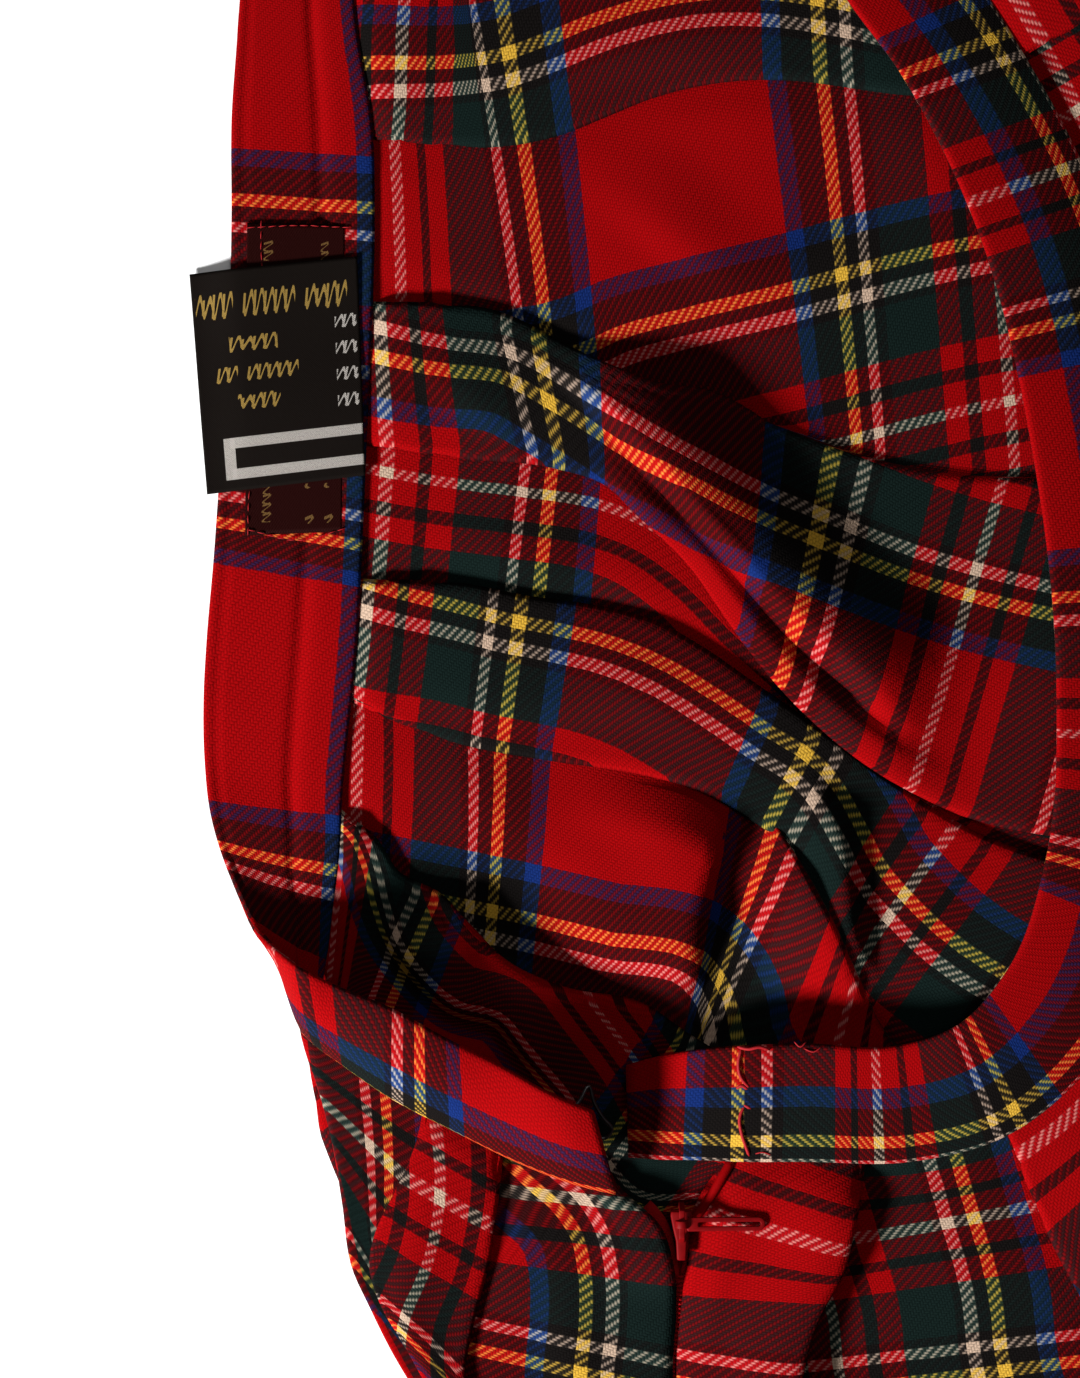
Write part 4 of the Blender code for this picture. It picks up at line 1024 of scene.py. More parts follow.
class Nodes:
    """Adds and links the nodes of one tree."""

    def __init__(self, tree):
        self.tree = tree

    def add(self, kind, inputs=None, **settings):
        node = self.tree.nodes.new(kind)
        for name, value in settings.items():
            setattr(node, name, value)
        for key, value in (inputs or {}).items():
            self.give(node.inputs[key], value)
        return node

    def give(self, socket, value):
        """Link a socket to another node's output, or set it to a plain value."""
        if isinstance(value, bpy.types.NodeSocket):
            self.tree.links.new(value, socket)
        else:
            socket.default_value = value

    def grouped(self, tree, inputs):
        return self.add("ShaderNodeGroup", inputs, node_tree=tree).outputs

    def math(self, operation, *values):
        return self.add("ShaderNodeMath", dict(enumerate(values)), operation=operation).outputs[0]

    def vector(self, operation, *values):
        return self.add("ShaderNodeVectorMath", dict(enumerate(values)), operation=operation).outputs[0]

    def scaled(self, vector, by):
        return self.add("ShaderNodeVectorMath", {0: vector, "Scale": by}, operation="SCALE").outputs[0]

    def axes(self, vector):
        return self.add("ShaderNodeSeparateXYZ", {"Vector": vector}).outputs

    def gamma(self, colour, power):
        return self.add("ShaderNodeGamma", {"Color": colour, "Gamma": power}).outputs[0]

    def mix(self, share, low, high):
        return self.add("ShaderNodeMix", {"Factor": share, 6: low, 7: high}, data_type="RGBA").outputs[2]

    def blend(self, share, low, high):
        return self.add("ShaderNodeMix", {"Factor": share, 2: low, 3: high}).outputs[0]

    def plain(self, colour):
        node = self.add("ShaderNodeRGB")
        node.outputs[0].default_value = colour
        return node.outputs[0]

    def noise(self, vector, scale, detail=2.0, output="Fac"):
        inputs = {"Vector": vector, "Scale": scale, "Detail": detail}
        return self.add("ShaderNodeTexNoise", inputs).outputs[output]

    def cloth_place(self):
        return self.add("ShaderNodeUVMap", uv_map="Cloth").outputs["UV"]

    def object_place(self):
        return self.add("ShaderNodeTexCoord").outputs["Object"]


class Group(Nodes):
    """A node group. Its inputs are numbers, or vectors where no value is given."""

    def __init__(self, name, inputs, outputs):
        super().__init__(bpy.data.node_groups.new(name, "ShaderNodeTree"))
        sockets = self.tree.interface
        for socket, value in inputs.items():
            kind = "NodeSocketVector" if value is None else "NodeSocketFloat"
            made = sockets.new_socket(socket, in_out="INPUT", socket_type=kind)
            if value is not None:
                made.default_value = value
        for socket, kind in outputs.items():
            sockets.new_socket(socket, in_out="OUTPUT", socket_type="NodeSocket" + kind)
        self.given = self.add("NodeGroupInput").outputs
        self.results = self.add("NodeGroupOutput").inputs

    def done(self, **results):
        for socket, value in results.items():
            self.give(self.results[socket], value)
        return self.tree


class Finish(Nodes):
    """A material and its Principled shader."""

    def __init__(self, name, roughness, specular=0.5, metallic=0.0):
        self.material = bpy.data.materials.new(name)
        self.material.use_nodes = True
        super().__init__(self.material.node_tree)
        self.shader = self.tree.nodes["Principled BSDF"].inputs
        self.shader["Roughness"].default_value = roughness
        self.shader["Specular IOR Level"].default_value = specular
        self.shader["Metallic"].default_value = metallic

    def bump(self, height, distance, strength=1.0):
        inputs = {"Height": height, "Distance": distance, "Strength": strength}
        self.give(self.shader["Normal"], self.add("ShaderNodeBump", inputs).outputs["Normal"])

    def ribbed(self, place, ribs, strength=0.6):
        self.bump(self.grouped(rib_group(), {"Place": place, "Ribs": ribs})["Height"], 0.00012, strength)

    def done(self, colour):
        self.give(self.shader["Base Color"], colour)
        return self.material


def sett_group():
    """The yarn colour at a distance across the tartan's repeat."""
    nodes = Group("Tartan sett", {"Distance": 0.0}, {"Yarn": "Color"})
    folded = nodes.math("PINGPONG", nodes.given["Distance"], HALF_SETT)
    ramp = nodes.add("ShaderNodeValToRGB", {"Fac": nodes.math("DIVIDE", folded, HALF_SETT)})
    ramp.color_ramp.interpolation = "CONSTANT"
    stops, begin = ramp.color_ramp.elements, 0.0
    for k, row in enumerate(named(SETT_COLUMNS, SETT)):
        stop = stops[0] if k == 0 else stops.new(begin / HALF_SETT)
        stop.position = begin / HALF_SETT
        stop.color = (*YARNS[row["colour"]], 1)
        begin = row["until"]
    stops[-1].color = (*YARNS[SETT[-1][1]], 1)
    return nodes.done(Yarn=ramp.outputs["Color"])


def thread_places(nodes):
    """Places in threads, whole thread numbers and yarn colours of warp and weft, a little astray."""
    math, given = nodes.math, nodes.given
    stray = nodes.vector("SUBTRACT", nodes.noise(given["Cloth"], 28.0, 2.0, "Color"), (0.5, 0.5, 0.5))
    split = nodes.axes(nodes.vector("ADD", given["Cloth"], nodes.scaled(stray, 0.0035)))
    sett = sett_group()
    places, threads, colours = [], [], []
    for axis, pitch in (("X", "Warp pitch"), ("Y", "Weft pitch")):
        places.append(math("DIVIDE", math("MULTIPLY", split[axis], CLOTH_UNIT), given[pitch]))
        threads.append(math("FLOOR", places[-1]))
        middle = math("MULTIPLY", math("ADD", threads[-1], 0.5), given[pitch])
        colours.append(nodes.grouped(sett, {"Distance": middle})["Yarn"])
    return places, threads, colours


def thread_height(nodes, warp_up, places, threads):
    """Height of the thread on top. It dives at both ends of a float over two, and is round across."""
    math = nodes.math
    across = nodes.blend(warp_up, math("FRACT", places[1]), math("FRACT", places[0]))
    along_warp = math("FLOORED_MODULO", math("ADD", threads[0], places[1]), 4.0)
    along_weft = math("FLOORED_MODULO", math("ADD", threads[1], places[0]), 4.0)
    along = nodes.blend(warp_up, math("SUBTRACT", along_weft, 2.0), along_warp)
    hump = math("POWER", math("MAXIMUM", math("SINE", math("MULTIPLY", along, np.pi / 2)), 0.0), 0.6)
    edge = math("POWER", math("ABSOLUTE", math("MULTIPLY_ADD", across, 2.0, -1.0)), 2.0)
    return math("MULTIPLY", math("MULTIPLY_ADD", edge, -0.55, 1.0), hump)


def dyed_thread(nodes, top, under, height):
    """The top thread's colour with some of the one below, softly blended where both dyes are deep."""
    math, given = nodes.math, nodes.given
    through = math("MULTIPLY_ADD", math("SUBTRACT", 1.0, height), 0.35, given["Show through"])
    near = nodes.gamma(top, math("SUBTRACT", 1.0, through))
    sharp = nodes.vector("MULTIPLY", near, nodes.gamma(under, through))
    blurred = nodes.vector("MULTIPLY", nodes.gamma(top, 0.5), nodes.gamma(under, 0.5))
    blurred = nodes.mix(0.12, blurred, nodes.mix(0.5, top, under))
    pale = math("MAXIMUM", nodes.axes(top)["Y"], nodes.axes(under)["Y"])
    deep = math("MAXIMUM", math("MULTIPLY_ADD", pale, -5.0, 1.0), 0.0)
    return nodes.mix(math("MULTIPLY", deep, given["Blur of deep dyes"]), sharp, blurred)


def twill_group():
    """Two-and-two twill of the tartan: the colour of the thread on top, darkened by painted shade where it dips, and
    its height.
    """
    nodes = Group("Tartan twill", {
        "Cloth": None, "Warp pitch": WARP_PITCH, "Weft pitch": WEFT_PITCH, "Show through": 0.12,
        "Thread shade": 0.52, "Fuzz": 0.9, "Blur of deep dyes": 0.42}, {"Colour": "Color", "Height": "Float"})
    math, given = nodes.math, nodes.given
    places, threads, colours = thread_places(nodes)
    warp_up = math("LESS_THAN", math("FLOORED_MODULO", math("ADD", *threads), 4.0), 1.5)
    top, under = (nodes.mix(warp_up, colours[1 - k], colours[k]) for k in (0, 1))
    height = thread_height(nodes, warp_up, places, threads)
    fine = nodes.vector("MULTIPLY", given["Cloth"], (420.0, 420.0, 0.0))
    hair = math("MULTIPLY", math("SUBTRACT", nodes.noise(fine, 1.0, 3.0), 0.5), given["Fuzz"])
    # Painted shade: the colour darkens where the thread dips, in the gaps between threads and at the ends of each
    # float; the fuzz noise varies it at random.
    floor = math("SUBTRACT", 1.25, given["Thread shade"])
    painted_shade_and_fuzz = math("MULTIPLY_ADD", height, given["Thread shade"], floor)
    painted_shade_and_fuzz = math("MULTIPLY", painted_shade_and_fuzz, math("ADD", hair, 1.0))
    return nodes.done(Colour=nodes.scaled(dyed_thread(nodes, top, under, height), painted_shade_and_fuzz),
                      Height=math("ADD", height, math("MULTIPLY", hair, 0.6)))


def tartan_wool():
    wool = Finish("Tartan wool", 0.95, specular=0.03)
    weave = wool.grouped(twill_group(), {"Cloth": wool.cloth_place()})
    wool.bump(weave["Height"], 0.00015, 0.6)
    return wool.done(weave["Colour"])


@cache
def marks_group():
    """A woven row of loose loops between two shares of a label's width."""
    nodes = Group("Woven marks", {
        "Place": None, "Left": 0.2, "Right": 0.8, "Middle": 0.5, "Half height": 0.02, "Pitch": 0.05,
        "Line": 0.3, "Gaps": 0.2}, {"Mask": "Float"})
    math, given = nodes.math, nodes.given
    split = nodes.axes(given["Place"])
    x, y = split["X"], split["Y"]
    off = math("DIVIDE", math("SUBTRACT", y, given["Middle"]), given["Half height"])
    lean = math("MULTIPLY_ADD", off, 0.16, math("DIVIDE", x, given["Pitch"]))
    cell = math("FLOOR", lean)
    chance = nodes.add("ShaderNodeTexWhiteNoise", {"W": cell}, noise_dimensions="1D").outputs["Value"]
    tall = math("MULTIPLY_ADD", chance, 0.45, 0.5)
    wave = math("MULTIPLY", math("SINE", math("MULTIPLY", lean, 2 * np.pi)), tall)
    upright = math("LESS_THAN", math("ABSOLUTE", math("SUBTRACT", off, wave)), given["Line"])
    stem = math("MULTIPLY", math("LESS_THAN", math("FRACT", lean), 0.22),
                math("LESS_THAN", math("ABSOLUTE", off), tall))
    kept = math("GREATER_THAN", math("FRACT", math("MULTIPLY", chance, 7.3)), given["Gaps"])
    inside = math("MULTIPLY", math("GREATER_THAN", x, given["Left"]), math("LESS_THAN", x, given["Right"]))
    near = math("LESS_THAN", math("ABSOLUTE", off), 1.0)
    drawn = math("MULTIPLY", math("MAXIMUM", upright, stem), kept)
    return nodes.done(Mask=math("MULTIPLY", drawn, math("MULTIPLY", inside, near)))


@cache
def rib_group():
    """Fine ribs of a woven ribbon: a height that rises and falls across the ribbon's place."""
    nodes = Group("Ribbon ribs", {"Place": None, "Ribs": 90.0}, {"Height": "Float"})
    math, place = nodes.math, nodes.given["Place"]
    split = nodes.axes(place)
    waves = [math("SINE", math("MULTIPLY", split[axis], math("MULTIPLY", nodes.given["Ribs"], turns)))
             for axis, turns in (("X", 6.283), ("Y", 8.2))]
    return nodes.done(Height=math("MULTIPLY_ADD", math("MULTIPLY", *waves), 0.5, nodes.noise(place, 60.0)))


def marked(nodes, colour, place, ink, strength, rows):
    """The colour with woven marks over it: each row has the values of MARK_COLUMNS."""
    for row in rows:
        mask = nodes.grouped(marks_group(), {"Place": place, **dict(zip(MARK_COLUMNS, row))})["Mask"]
        share = nodes.math("MINIMUM", nodes.math("MULTIPLY", mask, strength), 1.0)
        colour = nodes.mix(share, colour, ink)
    return colour


def black_satin():
    """Black woven ribbon with gold and pale loops and bars."""
    satin = Finish("Black woven ribbon", 0.75, specular=0.05)
    place = satin.cloth_place()
    worn = satin.math("MULTIPLY_ADD", satin.noise(place, 150.0), 1.2, 0.25)
    colour = marked(satin, satin.plain((0.0036, 0.0021, 0.0014, 1)), place, GOLD_THREAD, worn, GOLD_MARKS)
    colour = marked(satin, colour, place, PALE_THREAD, worn, PALE_MARKS)
    satin.ribbed(place, 75.0)
    return satin.done(colour)


def brown_weave():
    """Dark brown woven label with faint loops at its ends."""
    brown = Finish("Brown woven label", 0.6, specular=0.02)
    place = brown.cloth_place()
    split = brown.axes(place)
    turned = brown.add("ShaderNodeCombineXYZ", {"X": split["Y"], "Y": split["X"]}).outputs[0]
    brown.ribbed(place, 60.0)
    base = brown.plain((0.0110, 0.0013, 0.0011, 1))
    return brown.done(marked(brown, base, turned, (0.13, 0.07, 0.022, 1), 0.7, BROWN_MARKS))


def woven_tape():
    """Dark red zip tape with fine ribs."""
    tape = Finish("Zip tape", 0.85, specular=0.1)
    tape.ribbed(tape.object_place(), 1600.0, 0.5)
    return tape.done((0.27, 0.0016, 0.0030, 1))


def painted_metal():
    """Red paint on cast metal, a little uneven in colour and gloss."""
    paint = Finish("Painted zip metal", 0.55, specular=0.06)
    place = paint.object_place()
    patches = paint.noise(place, 900.0, 3.0)
    paint.give(paint.shader["Roughness"], paint.math("MULTIPLY_ADD", patches, 0.2, 0.45))
    paint.bump(paint.noise(place, 1600.0), 0.00003, 0.5)
    return paint.done(paint.mix(patches, (0.100, 0.0006, 0.0012, 1), (0.160, 0.0011, 0.0020, 1)))


def dark_wire():
    """Dark steel wire."""
    wire = Finish("Dark wire", 0.3, metallic=1.0)
    patches = wire.noise(wire.object_place(), 700.0, 3.0)
    return wire.done(wire.mix(patches, (0.030, 0.028, 0.030, 1), (0.12, 0.11, 0.11, 1)))


def thread_finish(name, dark, light, gloss=0.2):
    """Twisted sewing thread."""
    thread = Finish(name, 0.7, specular=gloss)
    twist = thread.noise(thread.object_place(), 2600.0)
    thread.bump(twist, 0.00008, 0.7)
    return thread.done(thread.mix(twist, (*dark, 1), (*light, 1)))


def skirt_panels(wool):
    """The back panel, which wraps round the lower side to the zip, and the front panel."""
    points, cloth = skirt_cloth(0, len(STRIPS))
    back_columns = len(skirt_cloth(0, len(BACK_STRIPS))[0])
    column = np.arange(len(points))
    share = np.minimum(1.0, 0.25 + 0.35 * np.minimum(column, column[::-1]))
    half = SHELL / 2 * share[:, None, None]
    cuts = {"back_cloth": slice(0, back_columns), "front_cloth": slice(back_columns - 1, None)}
    cloth = cloth * (-1, 1)
    return [shell_object(name, points[cut], half[cut], cloth[cut], wool) for name, cut in cuts.items()]


def band_cloth(face, lengths, share):
    """Tartan coordinates on the waistband: round the band, and across it from its top edge."""
    rows = named(CROSSING_COLUMNS, BAND_CROSSINGS)
    runs = np.array([length_at(SEAM, plan((row["x"], row["y"]))) for row in rows])
    setts = np.array([row["sett"] for row in rows])
    lean = np.interp(lengths, runs, [row[face + "_lean"] for row in rows])[:, None]
    end_runs = np.array([length_at(SEAM, plan(row[:2])) for row in UNDER_END_CROSSINGS])
    end_setts = np.array([row[2] for row in UNDER_END_CROSSINGS])
    repeat = 2 * HALF_SETT
    end_setts = end_setts + repeat * round((setts[-1] - (end_runs[0] - runs[-1])) / repeat)
    runs = np.r_[runs[0] - FAR, runs, end_runs, end_runs[-1] + FAR]
    setts = np.r_[setts[0] + FAR, setts, end_setts, end_setts[-1] - FAR]
    ring = np.interp(lengths[:, None] - lean * (1 - share), runs, setts)
    if face == "inner":
        return np.stack([ring, (INNER_START - INNER_SPAN * (1 - share)) * np.ones_like(ring)], -1)
    rolled = OUTER_START - ROLLED_SPAN * share - ROLLED_BEND * share ** 4
    end = (1 - smooth((lengths - 90.0) / 30.0))[:, None]
    return np.stack([ring, (OUTER_START - OUTER_SPAN * share) * (1 - end) + rolled * end], -1)


def waistband(wool):
    """The waistband as one long shell, rolled where it stands up and grooved along its sewing lines."""
    end = SEAM[0][-1]
    lengths = np.linspace(0, end, int(end / BAND_SPACING))
    share = np.r_[0, 0.012, np.linspace(0.03, 0.97, 30), 0.988, 1]
    top, seam = band_top(lengths)[:, None], at(SEAM, lengths)[:, None]
    standing = np.clip((top[..., 2:] - seam[..., 2:]) / 13.0, 0, 1)
    t = share[None, :, None]
    across = (1 - standing) * t + standing * np.sin(np.pi / 2 * t)
    height = (1 - standing) * (1 - t) + standing * np.cos(np.pi / 2 * t)
    lines = top[..., :2] * (1 - across) + seam[..., :2] * across
    rise = seam[..., 2:] + (top[..., 2:] - seam[..., 2:]) * height + BAND_PADDING
    middle = np.concatenate([lines, rise], -1)
    free_end = smooth((FREE_END_LENGTH + 2.0 - lengths) / FREE_END_LENGTH)[:, None]
    middle[..., 2] = np.maximum(middle[..., 2] + (FREE_END_LIFT - FREE_END_SLOPE * share) * free_end, 1.1)
    rim = np.sqrt(np.clip(1 - (1 - np.minimum(np.minimum(share, 1 - share) / 0.03, 1)) ** 2, 0.02, 1))
    inner_rise = sum(depth * bell(share, place, width) for depth, place, width in BAND_GROOVES)
    inner_rise = inner_rise + 0.5 * smooth((share - 0.62) / 0.15) + 0.35 * ripple(middle[..., :2] * 1.4)
    return shell_object("waistband_cloth", middle, (BAND_SHELL / 2 * rim)[None, :, None],
                        band_cloth("outer", lengths, share), wool,
                        inner_cloth=band_cloth("inner", lengths, share), inner_rise=inner_rise[..., None])


def label(name, corners, finish, bottom, thickness, droop=0.0):
    """A flat label with its lower face at this height; droop lowers its free left edge."""
    left_top, right_top, right_low, left_low = plan(corners)
    steps = 61
    share = np.linspace(0, 1, steps)
    s, r = share[:, None, None], share[None, :, None]
    left, right = left_top + (left_low - left_top) * s, right_top + (right_low - right_top) * s
    wave = 0.22 * np.sin(5.2 * r + 3.1 * s) * (1 - r) + 0.16 * np.sin(9 * s + 2)
    bow = 0.5 * smooth(r / 0.5) * (1 - r) * smooth(s * 5) * smooth((1 - s) * 5)
    lift = bottom + thickness / 2 + (wave + bow) * (1.0 if droop else 0.3)
    lift = lift - droop * (1 - smooth(r / 0.3)) * (1 - 0.72 * s)
    middle = np.concatenate([left + (right - left) * r, lift], -1)[::-1]
    cloth = np.stack([np.ones(steps)[:, None] * share, share[::-1, None] * np.ones(steps)], -1)
    return shell_object(name, middle, thickness / 2, cloth * CLOTH_UNIT, finish)


def tube(name, places, radius, finish, sides=8):
    """A round thread or wire through these points, given in picture pixels and millimetres of height."""
    line = curve([(*plan(place[:2]), place[2]) for place in places], cuts=4)[1]
    along = unit(np.gradient(line, axis=0))
    side = unit(np.cross(along, (0.0, 0.0, 1.0)) + (1e-6, 0, 0))
    angle = np.linspace(0, 2 * np.pi, sides, endpoint=False)[:, None]
    ring = np.cos(angle) * side[:, None] + np.sin(angle) * np.cross(side, along)[:, None]
    radii = np.full(len(line), radius)
    radii[[0, -1]] *= 0.35
    points = line[:, None] + ring * radii[:, None, None]
    return mesh_object(name, points, ring_faces(len(line), sides, "capped"), finish)


def rounded(piece, width, segments=3):
    """The piece with its sharp edges rounded."""
    bevel = piece.modifiers.new("rounded", "BEVEL")
    bevel.width = width / 1000
    bevel.segments = segments
    bevel.limit_method = "ANGLE"
    bevel.angle_limit = np.radians(28)
    return made_plain(piece)


def made_plain(piece):
    """The piece with its modifiers applied, so that a plain smooth mesh is left."""
    shown = piece.evaluated_get(bpy.context.evaluated_depsgraph_get())
    mesh = bpy.data.meshes.new_from_object(shown)
    piece.modifiers.clear()
    old, piece.data = piece.data, mesh
    bpy.data.meshes.remove(old)
    mesh.name = piece.name
    mesh.shade_smooth()
    return piece


def joined(name, pieces):
    """Several mesh objects of one finish as one."""
    form = bmesh.new()
    for piece in pieces:
        form.from_mesh(piece.data)
    for face in form.faces:
        face.material_index = 0
    mesh = bpy.data.meshes.new(name)
    form.to_mesh(mesh)
    form.free()
    mesh.materials.append(pieces[0].data.materials[-1])
    for piece in pieces:
        bpy.data.objects.remove(piece, do_unlink=True)
    return in_scene(name, mesh)


def repeat_nodes():
    """Geometry nodes that set copies of a small form along a line at a steady pitch, a little unevenly."""
    group = bpy.data.node_groups.new("Repeat along a line", "GeometryNodeTree")
    kinds = {"Geometry": "Geometry", "Form": "Object", "Pitch": "Float", "Turn": "Float", "Uneven": "Float",
             "Finish": "Material", "Seed": "Int"}
    for socket, kind in kinds.items():
        group.interface.new_socket(socket, in_out="INPUT", socket_type="NodeSocket" + kind)
    group.interface.new_socket("Geometry", in_out="OUTPUT", socket_type="NodeSocketGeometry")
    nodes = Nodes(group)
    given = nodes.add("NodeGroupInput").outputs
    path = nodes.add("GeometryNodeMeshToCurve", {"Mesh": given["Geometry"]}).outputs[0]
    places = nodes.add("GeometryNodeResampleCurve", {"Curve": path, "Length": given["Pitch"]}, mode="LENGTH")
    form = nodes.add("GeometryNodeObjectInfo", {"Object": given["Form"]}).outputs["Geometry"]
    tangent = nodes.add("GeometryNodeInputTangent").outputs[0]
    aligned = nodes.add("FunctionNodeAlignRotationToVector", {"Vector": tangent}, axis="X", pivot_axis="Z")
    lean = nodes.add("FunctionNodeRandomValue", {
        "Min": nodes.math("MULTIPLY", given["Uneven"], -1.0), "Max": given["Uneven"], "Seed": given["Seed"]},
        data_type="FLOAT")
    lean = [out for out in lean.outputs if out.enabled and out.name == "Value"][0]
    turn = nodes.add("ShaderNodeCombineXYZ", {"Z": nodes.math("ADD", given["Turn"], lean)}).outputs[0]
    turned = nodes.add("FunctionNodeRotateRotation", {0: aligned.outputs[0], 1: turn}, rotation_space="LOCAL")
    copies = nodes.add("GeometryNodeInstanceOnPoints", {
        "Points": places.outputs[0], "Instance": form, "Rotation": turned.outputs[0]}).outputs[0]
    real = nodes.add("GeometryNodeRealizeInstances", {"Geometry": copies}).outputs[0]
    painted = nodes.add("GeometryNodeSetMaterial", {"Geometry": real, "Material": given["Finish"]}).outputs[0]
    nodes.add("NodeGroupOutput", {0: painted})
    return group


def repeated(name, places, form, pitch, finish, turn=0.0, uneven=0.0, seed=1):
    """Copies of a small form, which lies along x, set along a line of plan points in millimetres."""
    mesh = bpy.data.meshes.new(name)
    mesh.from_pydata(in_metres(places), [(k, k + 1) for k in range(len(places) - 1)], [])
    piece = in_scene(name, mesh)
    made = piece.modifiers.new("repeat", "NODES")
    made.node_group = bpy.data.node_groups.get("Repeat along a line") or repeat_nodes()
    values = {"Form": form, "Pitch": pitch / 1000, "Turn": turn, "Uneven": uneven, "Finish": finish,
              "Seed": seed}
    for item in made.node_group.interface.items_tree:
        if item.in_out == "INPUT" and item.name in values:
            made[item.identifier] = values[item.name]
    return made_plain(piece)


def small_stitch(length, radius):
    """One stitch lying along x: a short spindle that dips into the cloth at both ends."""
    rings, sides = 5, 6
    share = np.linspace(0, 1, rings)[:, None]
    bow = np.sin(np.pi * share)
    wide, lift = radius * (0.35 + 0.65 * bow), radius * (1.6 * bow - 0.4)
    angle = np.linspace(0, 2 * np.pi, sides, endpoint=False)
    x = (share - 0.5) * length + 0 * angle
    points = np.stack([x, wide * np.cos(angle), lift + wide * np.sin(angle)], -1).reshape(-1, 3)
    mesh = bpy.data.meshes.new("stitch form")
    mesh.from_pydata((points / 1000).tolist(), [], ring_faces(rings, sides, turned=True))
    return bpy.data.objects.new("stitch form", mesh)


def zip_tape(name, side, finish):
    """A woven zip tape under one panel's edge, with a ridge beside the coil."""
    rows, columns = 110, 14
    lengths = np.linspace(TAPE_START, ZIP_LENGTH, rows)
    edge = between(lengths, V, zip_edge(side))
    share = np.linspace(0, 1, columns)[:, None]
    lines = edge + (share * TAPE_WIDTH - 0.9)[..., None] * (side * sideways(edge, lengths))
    ridge = 0.35 * bell(share, 0.16, 0.06)
    heights = np.full((columns, rows), PANEL_LEVEL - 1.4) + ridge
    middle = np.concatenate([lines, heights[..., None]], -1)
    cloth = np.stack([share * TAPE_WIDTH * np.ones(rows), lengths * np.ones((columns, 1))], -1)
    order = slice(None) if side < 0 else slice(None, None, -1)
    return shell_object(name, middle[order], 0.4, cloth[order], finish)


def zip_chain(finish):
    """The closed coil of the zip: small interlocked loops on a cord between the panel edges."""
    rows, columns = 80, 7
    middle = between(np.linspace(COIL_START, ZIP_LENGTH, rows), V, at_rows(ZIP_LINE))
    height = PANEL_LEVEL - 0.5
    path = np.hstack([middle, np.full((rows, 1), height)])
    loop = small_stitch(length=2.3, radius=0.34)
    teeth = repeated("zip_teeth", path, loop, COIL_PITCH, finish, turn=np.pi / 2 + 0.18, seed=3)
    bpy.data.objects.remove(loop)
    lines = middle + np.linspace(-1, 1, columns)[:, None, None] * sideways(middle) * 1.1
    cord = np.concatenate([lines, np.full((columns, rows, 1), height - 0.55)], -1)
    cord = shell_object("zip_cord", cord, 0.35, np.zeros((columns, rows, 2)), finish)
    return joined("zip_chain_coil", [teeth, cord])


def prism(name, outline, low, high, finish):
    """An upright prism on an outline in millimetres."""
    points = [(x, y, z) for z in (low, high) for x, y in outline]
    return mesh_object(name, points, ring_faces(2, len(outline), "capped"), finish)


def slider_bridge(top, finish):
    """The slider's flat bridge, arched over it from end to end."""
    middle, bar_y = plan(SLIDER_MIDDLE), plan((0, BAR_Y_PIXEL))[1]
    under = BAR_HEIGHT - BAR_THICKNESS / 2
    half = [(-3.9, top - 0.6), (-3.2, under - 0.2), (-1.6, BAR_HEIGHT)]
    places = half + [(0, BAR_HEIGHT + 0.05)] + [(-y, z) for y, z in half[::-1]]
    arch = curve([(middle[0], bar_y + y, z) for y, z in places], cuts=3)[1]
    across = np.array([1.0, 0.0, 0.0])
    up = np.cross(across, unit(np.gradient(arch, axis=0)))
    wide, tall = BRIDGE_WIDTH / 2, BAR_THICKNESS / 2 * 0.96
    corners = np.array([(-wide, -tall), (wide, -tall), (wide, tall), (-wide, tall)])
    points = arch[:, None] + corners[:, :1] * across + up[:, None] * corners[:, 1:]
    faces = ring_faces(len(arch), 4, "capped", turned=True)
    return rounded(mesh_object("slider_bridge", points, faces, finish), 0.18)


def zip_slider(finish):
    """The painted slider: a body with flared wings and a bridge whose bar carries the pull tab."""
    middle = plan(SLIDER_MIDDLE)
    low = PANEL_LEVEL - 0.3
    top = low + SLIDER_HEIGHT
    half = [(-2.2, 5.2), (-2.3, 4.2), (-1.8, 1.6), (-1.15, -1.2), (-0.95, -5.2)]
    outline = np.array(half + [(-x, y) for x, y in half[::-1]]) + middle
    neck = np.array([(-0.8, 4.6), (-0.8, 1.0), (0.8, 1.0), (0.8, 4.6)]) + middle
    lower = rounded(prism("slider_lower", outline, low, low + 1.1, finish), 0.3)
    upper = rounded(prism("slider_upper", outline, top - 1.1, top, finish), 0.4)
    neck = rounded(prism("slider_neck", neck, low + 0.9, top - 0.9, finish), 0.2)
    return joined("zip_slider_body", [lower, upper, neck, slider_bridge(top, finish)])


